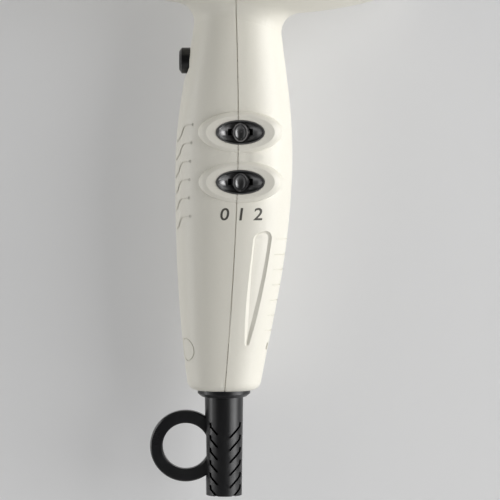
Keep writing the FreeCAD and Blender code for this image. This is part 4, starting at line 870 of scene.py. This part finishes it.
class HAIR_DRYER_OT_coils(bpy.types.Operator):
    """Wound heating wire in place of the plain rings"""

    bl_idname = "hair_dryer.coils"
    bl_label = "Wind the Heating Coils"

    def execute(self, context):
        sizes = context.scene.dryer_sizes
        wire = bpy.data.materials["resistance_wire"]
        tree = coil_tree()
        first = None
        for i, (low, high) in enumerate(islands(NODES["heating_coils"].data)):
            coil = (high.x - low.x) / 2 - sizes.heating_wire
            ring = (high.y - low.y) / 2 - coil - sizes.heating_wire
            piece = made_by(
                tree, "heating_coil_%d" % (i + 1),
                {
                    "Ring radius": ring,
                    "Place X": (low.x + high.x) / 2,
                    "Coil radius": coil,
                    "Turns": int(2 * math.pi * ring / (COIL_TURN * sizes.heating_wire)),
                    "Wire radius": sizes.heating_wire,
                    "Material": wire,
                },
                "dryer",
            )
            if first is None:
                first = piece
        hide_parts("heating_coils")
        return {"FINISHED"}


# ---------------------------------------------------------------- studio


# Two cards stand behind the dryer and share an edge's height, CARD_TOP below the barrel's
# axis: the near one under it, CARD_GAP back, and the backdrop over it, WALL_GAP back.
FLOOR_LEVEL = -0.46
CARD_GAP = 23 * MM
CARD_TOP = 37.8 * MM
CARD_HEIGHT = 0.8
CARD_WIDTH = 1.6
WALL_GAP = 75 * MM
ROOM_GLOW = 0.08
# Name, place, width and height in metres, and power in watts.
LIGHTS = (
    ("key", (0.95, -0.62, 0.05), (0.7, 1.0), 8.6),
    ("side", (1.05, -0.25, 0.0), (0.5, 1.0), 5.4),
    ("left", (-0.85, -0.35, -0.05), (0.6, 1.2), 1.7),
    ("rim", (-0.95, -0.08, -0.05), (0.3, 1.2), 3.5),
    ("back", (0.2, 1.4, 0.5), (1.2, 1.0), 6.0),
)
# The camera frames VIEW_WIDTH, centred VIEW_DROP under the lower switch's bottom edge.
SENSOR_WIDTH = 36.0
CAMERA_DISTANCE = 1.2
CAMERA_TILT = math.radians(3.5)
VIEW_WIDTH = 180 * MM
VIEW_CENTRE_X = 4.3 * MM
VIEW_DROP = 20.9 * MM


def plane(name, centre, across, up, width, height):
    """A flat stage card."""
    mesh = bpy.data.meshes.new(name)
    a, u = Vector(across) * width / 2, Vector(up) * height / 2
    c = Vector(centre)
    mesh.from_pydata([c - a - u, c + a - u, c + a + u, c - a + u], [], [(0, 1, 2, 3)])
    card = bpy.data.objects.new(name, mesh)
    bpy.context.scene.collection.objects.link(card)
    return card


def faded_paper(name, colour, centre, inner, outer, glow=0.0):
    """Matt paper with a slight glow that fades out away from its centre and is clear from behind."""
    material, w, shader = new_material(name)
    shader.inputs["Base Color"].default_value = colour
    shader.inputs["Roughness"].default_value = 0.9
    shader.inputs["Specular IOR Level"].default_value = 0.1
    shader.inputs["Emission Color"].default_value = (1, 1, 1, 1)
    shader.inputs["Emission Strength"].default_value = glow
    place = w.add("ShaderNodeTexCoord").outputs["Object"]
    away = w.add("ShaderNodeVectorMath", {0: place, 1: centre}, operation="DISTANCE")
    shown = w.span(away.outputs["Value"], inner, outer, 1.0, 0.0)
    behind = w.add("ShaderNodeNewGeometry").outputs["Backfacing"]
    w.feed(shader, "Alpha", w.math("MULTIPLY", shown, w.math("SUBTRACT", 1.0, behind)))
    return material


def area_light(name, place, target, size, power):
    """A soft rectangular light aimed at a point."""
    data = bpy.data.lights.new(name, "AREA")
    data.shape = "RECTANGLE"
    data.size, data.size_y = size
    data.energy = power
    lamp = bpy.data.objects.new(name, data)
    lamp.location = place
    aim = Vector(target) - Vector(place)
    lamp.rotation_euler = aim.to_track_quat("-Z", "Y").to_euler()
    bpy.context.scene.collection.objects.link(lamp)
    return lamp


class HAIR_DRYER_OT_studio(bpy.types.Operator):
    """Pale floor and backdrop, soft light and the camera"""

    bl_idname = "hair_dryer.studio"
    bl_label = "Set Up the Studio"

    def execute(self, context):
        scene = context.scene
        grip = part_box("heat_switch_bezel")[0]
        middle = Vector((VIEW_CENTRE_X, 0.0, grip.z - VIEW_DROP))
        ground = (0, 0, FLOOR_LEVEL)
        floor = plane("floor", ground, (1, 0, 0), (0, 1, 0), 6.0, 6.0)
        floor.data.materials.append(
            faded_paper("floor_paper", (0.72, 0.72, 0.72, 1), ground, 0.9, 1.6)
        )
        over, under = CARD_HEIGHT / 2 - CARD_TOP, -CARD_HEIGHT / 2 - CARD_TOP
        facing = ((-1, 0, 0), (0, 0, -1), CARD_WIDTH, CARD_HEIGHT)
        wall = plane("backdrop", (0, WALL_GAP, over), *facing)
        near = plane("near_card", (0, CARD_GAP, under), *facing)
        paper = faded_paper("backdrop_paper", (0.52, 0.52, 0.52, 1), middle, 0.32, 0.6, 0.22)
        for card in (wall, near):
            card.data.materials.append(paper)
        target = (0, 0, middle.z)
        for name, place, size, power in LIGHTS:
            area_light(name, place, target, size, power)
        world = bpy.data.worlds.new("soft_room")
        world.use_nodes = True
        background = world.node_tree.nodes["Background"]
        background.inputs["Color"].default_value = (1.0, 1.0, 1.0, 1)
        background.inputs["Strength"].default_value = ROOM_GLOW
        scene.world = world
        scene.view_settings.view_transform = "Standard"
        data = bpy.data.cameras.new("camera")
        data.sensor_width = SENSOR_WIDTH
        data.lens = SENSOR_WIDTH * CAMERA_DISTANCE / VIEW_WIDTH
        camera = bpy.data.objects.new("camera", data)
        back = Vector((0, -math.cos(CAMERA_TILT), math.sin(CAMERA_TILT)))
        camera.location = middle + back * CAMERA_DISTANCE
        look = middle - camera.location
        camera.rotation_euler = look.to_track_quat("-Z", "Y").to_euler()
        data.clip_start = 0.05
        scene.collection.objects.link(camera)
        scene.camera = camera
        return {"FINISHED"}


# ---------------------------------------------------------------- add-on


STEPS = (
    HAIR_DRYER_OT_housings,
    HAIR_DRYER_OT_switches,
    HAIR_DRYER_OT_trim,
    HAIR_DRYER_OT_heater,
    HAIR_DRYER_OT_motor,
    HAIR_DRYER_OT_wiring,
    HAIR_DRYER_OT_marks,
    HAIR_DRYER_OT_gauze,
    HAIR_DRYER_OT_coils,
    HAIR_DRYER_OT_studio,
)


class HAIR_DRYER_PT_panel(bpy.types.Panel):
    """Sizes, colours and steps of the hair dryer"""

    bl_label = "Hair Dryer"
    bl_space_type = "VIEW_3D"
    bl_region_type = "UI"
    bl_category = "Hair Dryer"

    def draw(self, context):
        column = self.layout.column()
        for group in (context.scene.dryer_sizes, context.scene.dryer_colours):
            for name in group.bl_rna.properties.keys():
                if name not in ("rna_type", "name"):
                    column.prop(group, name)
        for step in STEPS:
            column.operator(step.bl_idname)


CLASSES = (DryerSizes, DryerColours, *STEPS, HAIR_DRYER_PT_panel)


def register():
    for item in CLASSES:
        bpy.utils.register_class(item)
    bpy.types.Scene.dryer_sizes = bpy.props.PointerProperty(type=DryerSizes)
    bpy.types.Scene.dryer_colours = bpy.props.PointerProperty(type=DryerColours)


def unregister():
    del bpy.types.Scene.dryer_colours
    del bpy.types.Scene.dryer_sizes
    for item in reversed(CLASSES):
        bpy.utils.unregister_class(item)


def main():
    register()
    for step in STEPS:
        getattr(bpy.ops.hair_dryer, step.bl_idname.split(".")[1])()


if __name__ == "__main__":
    main()
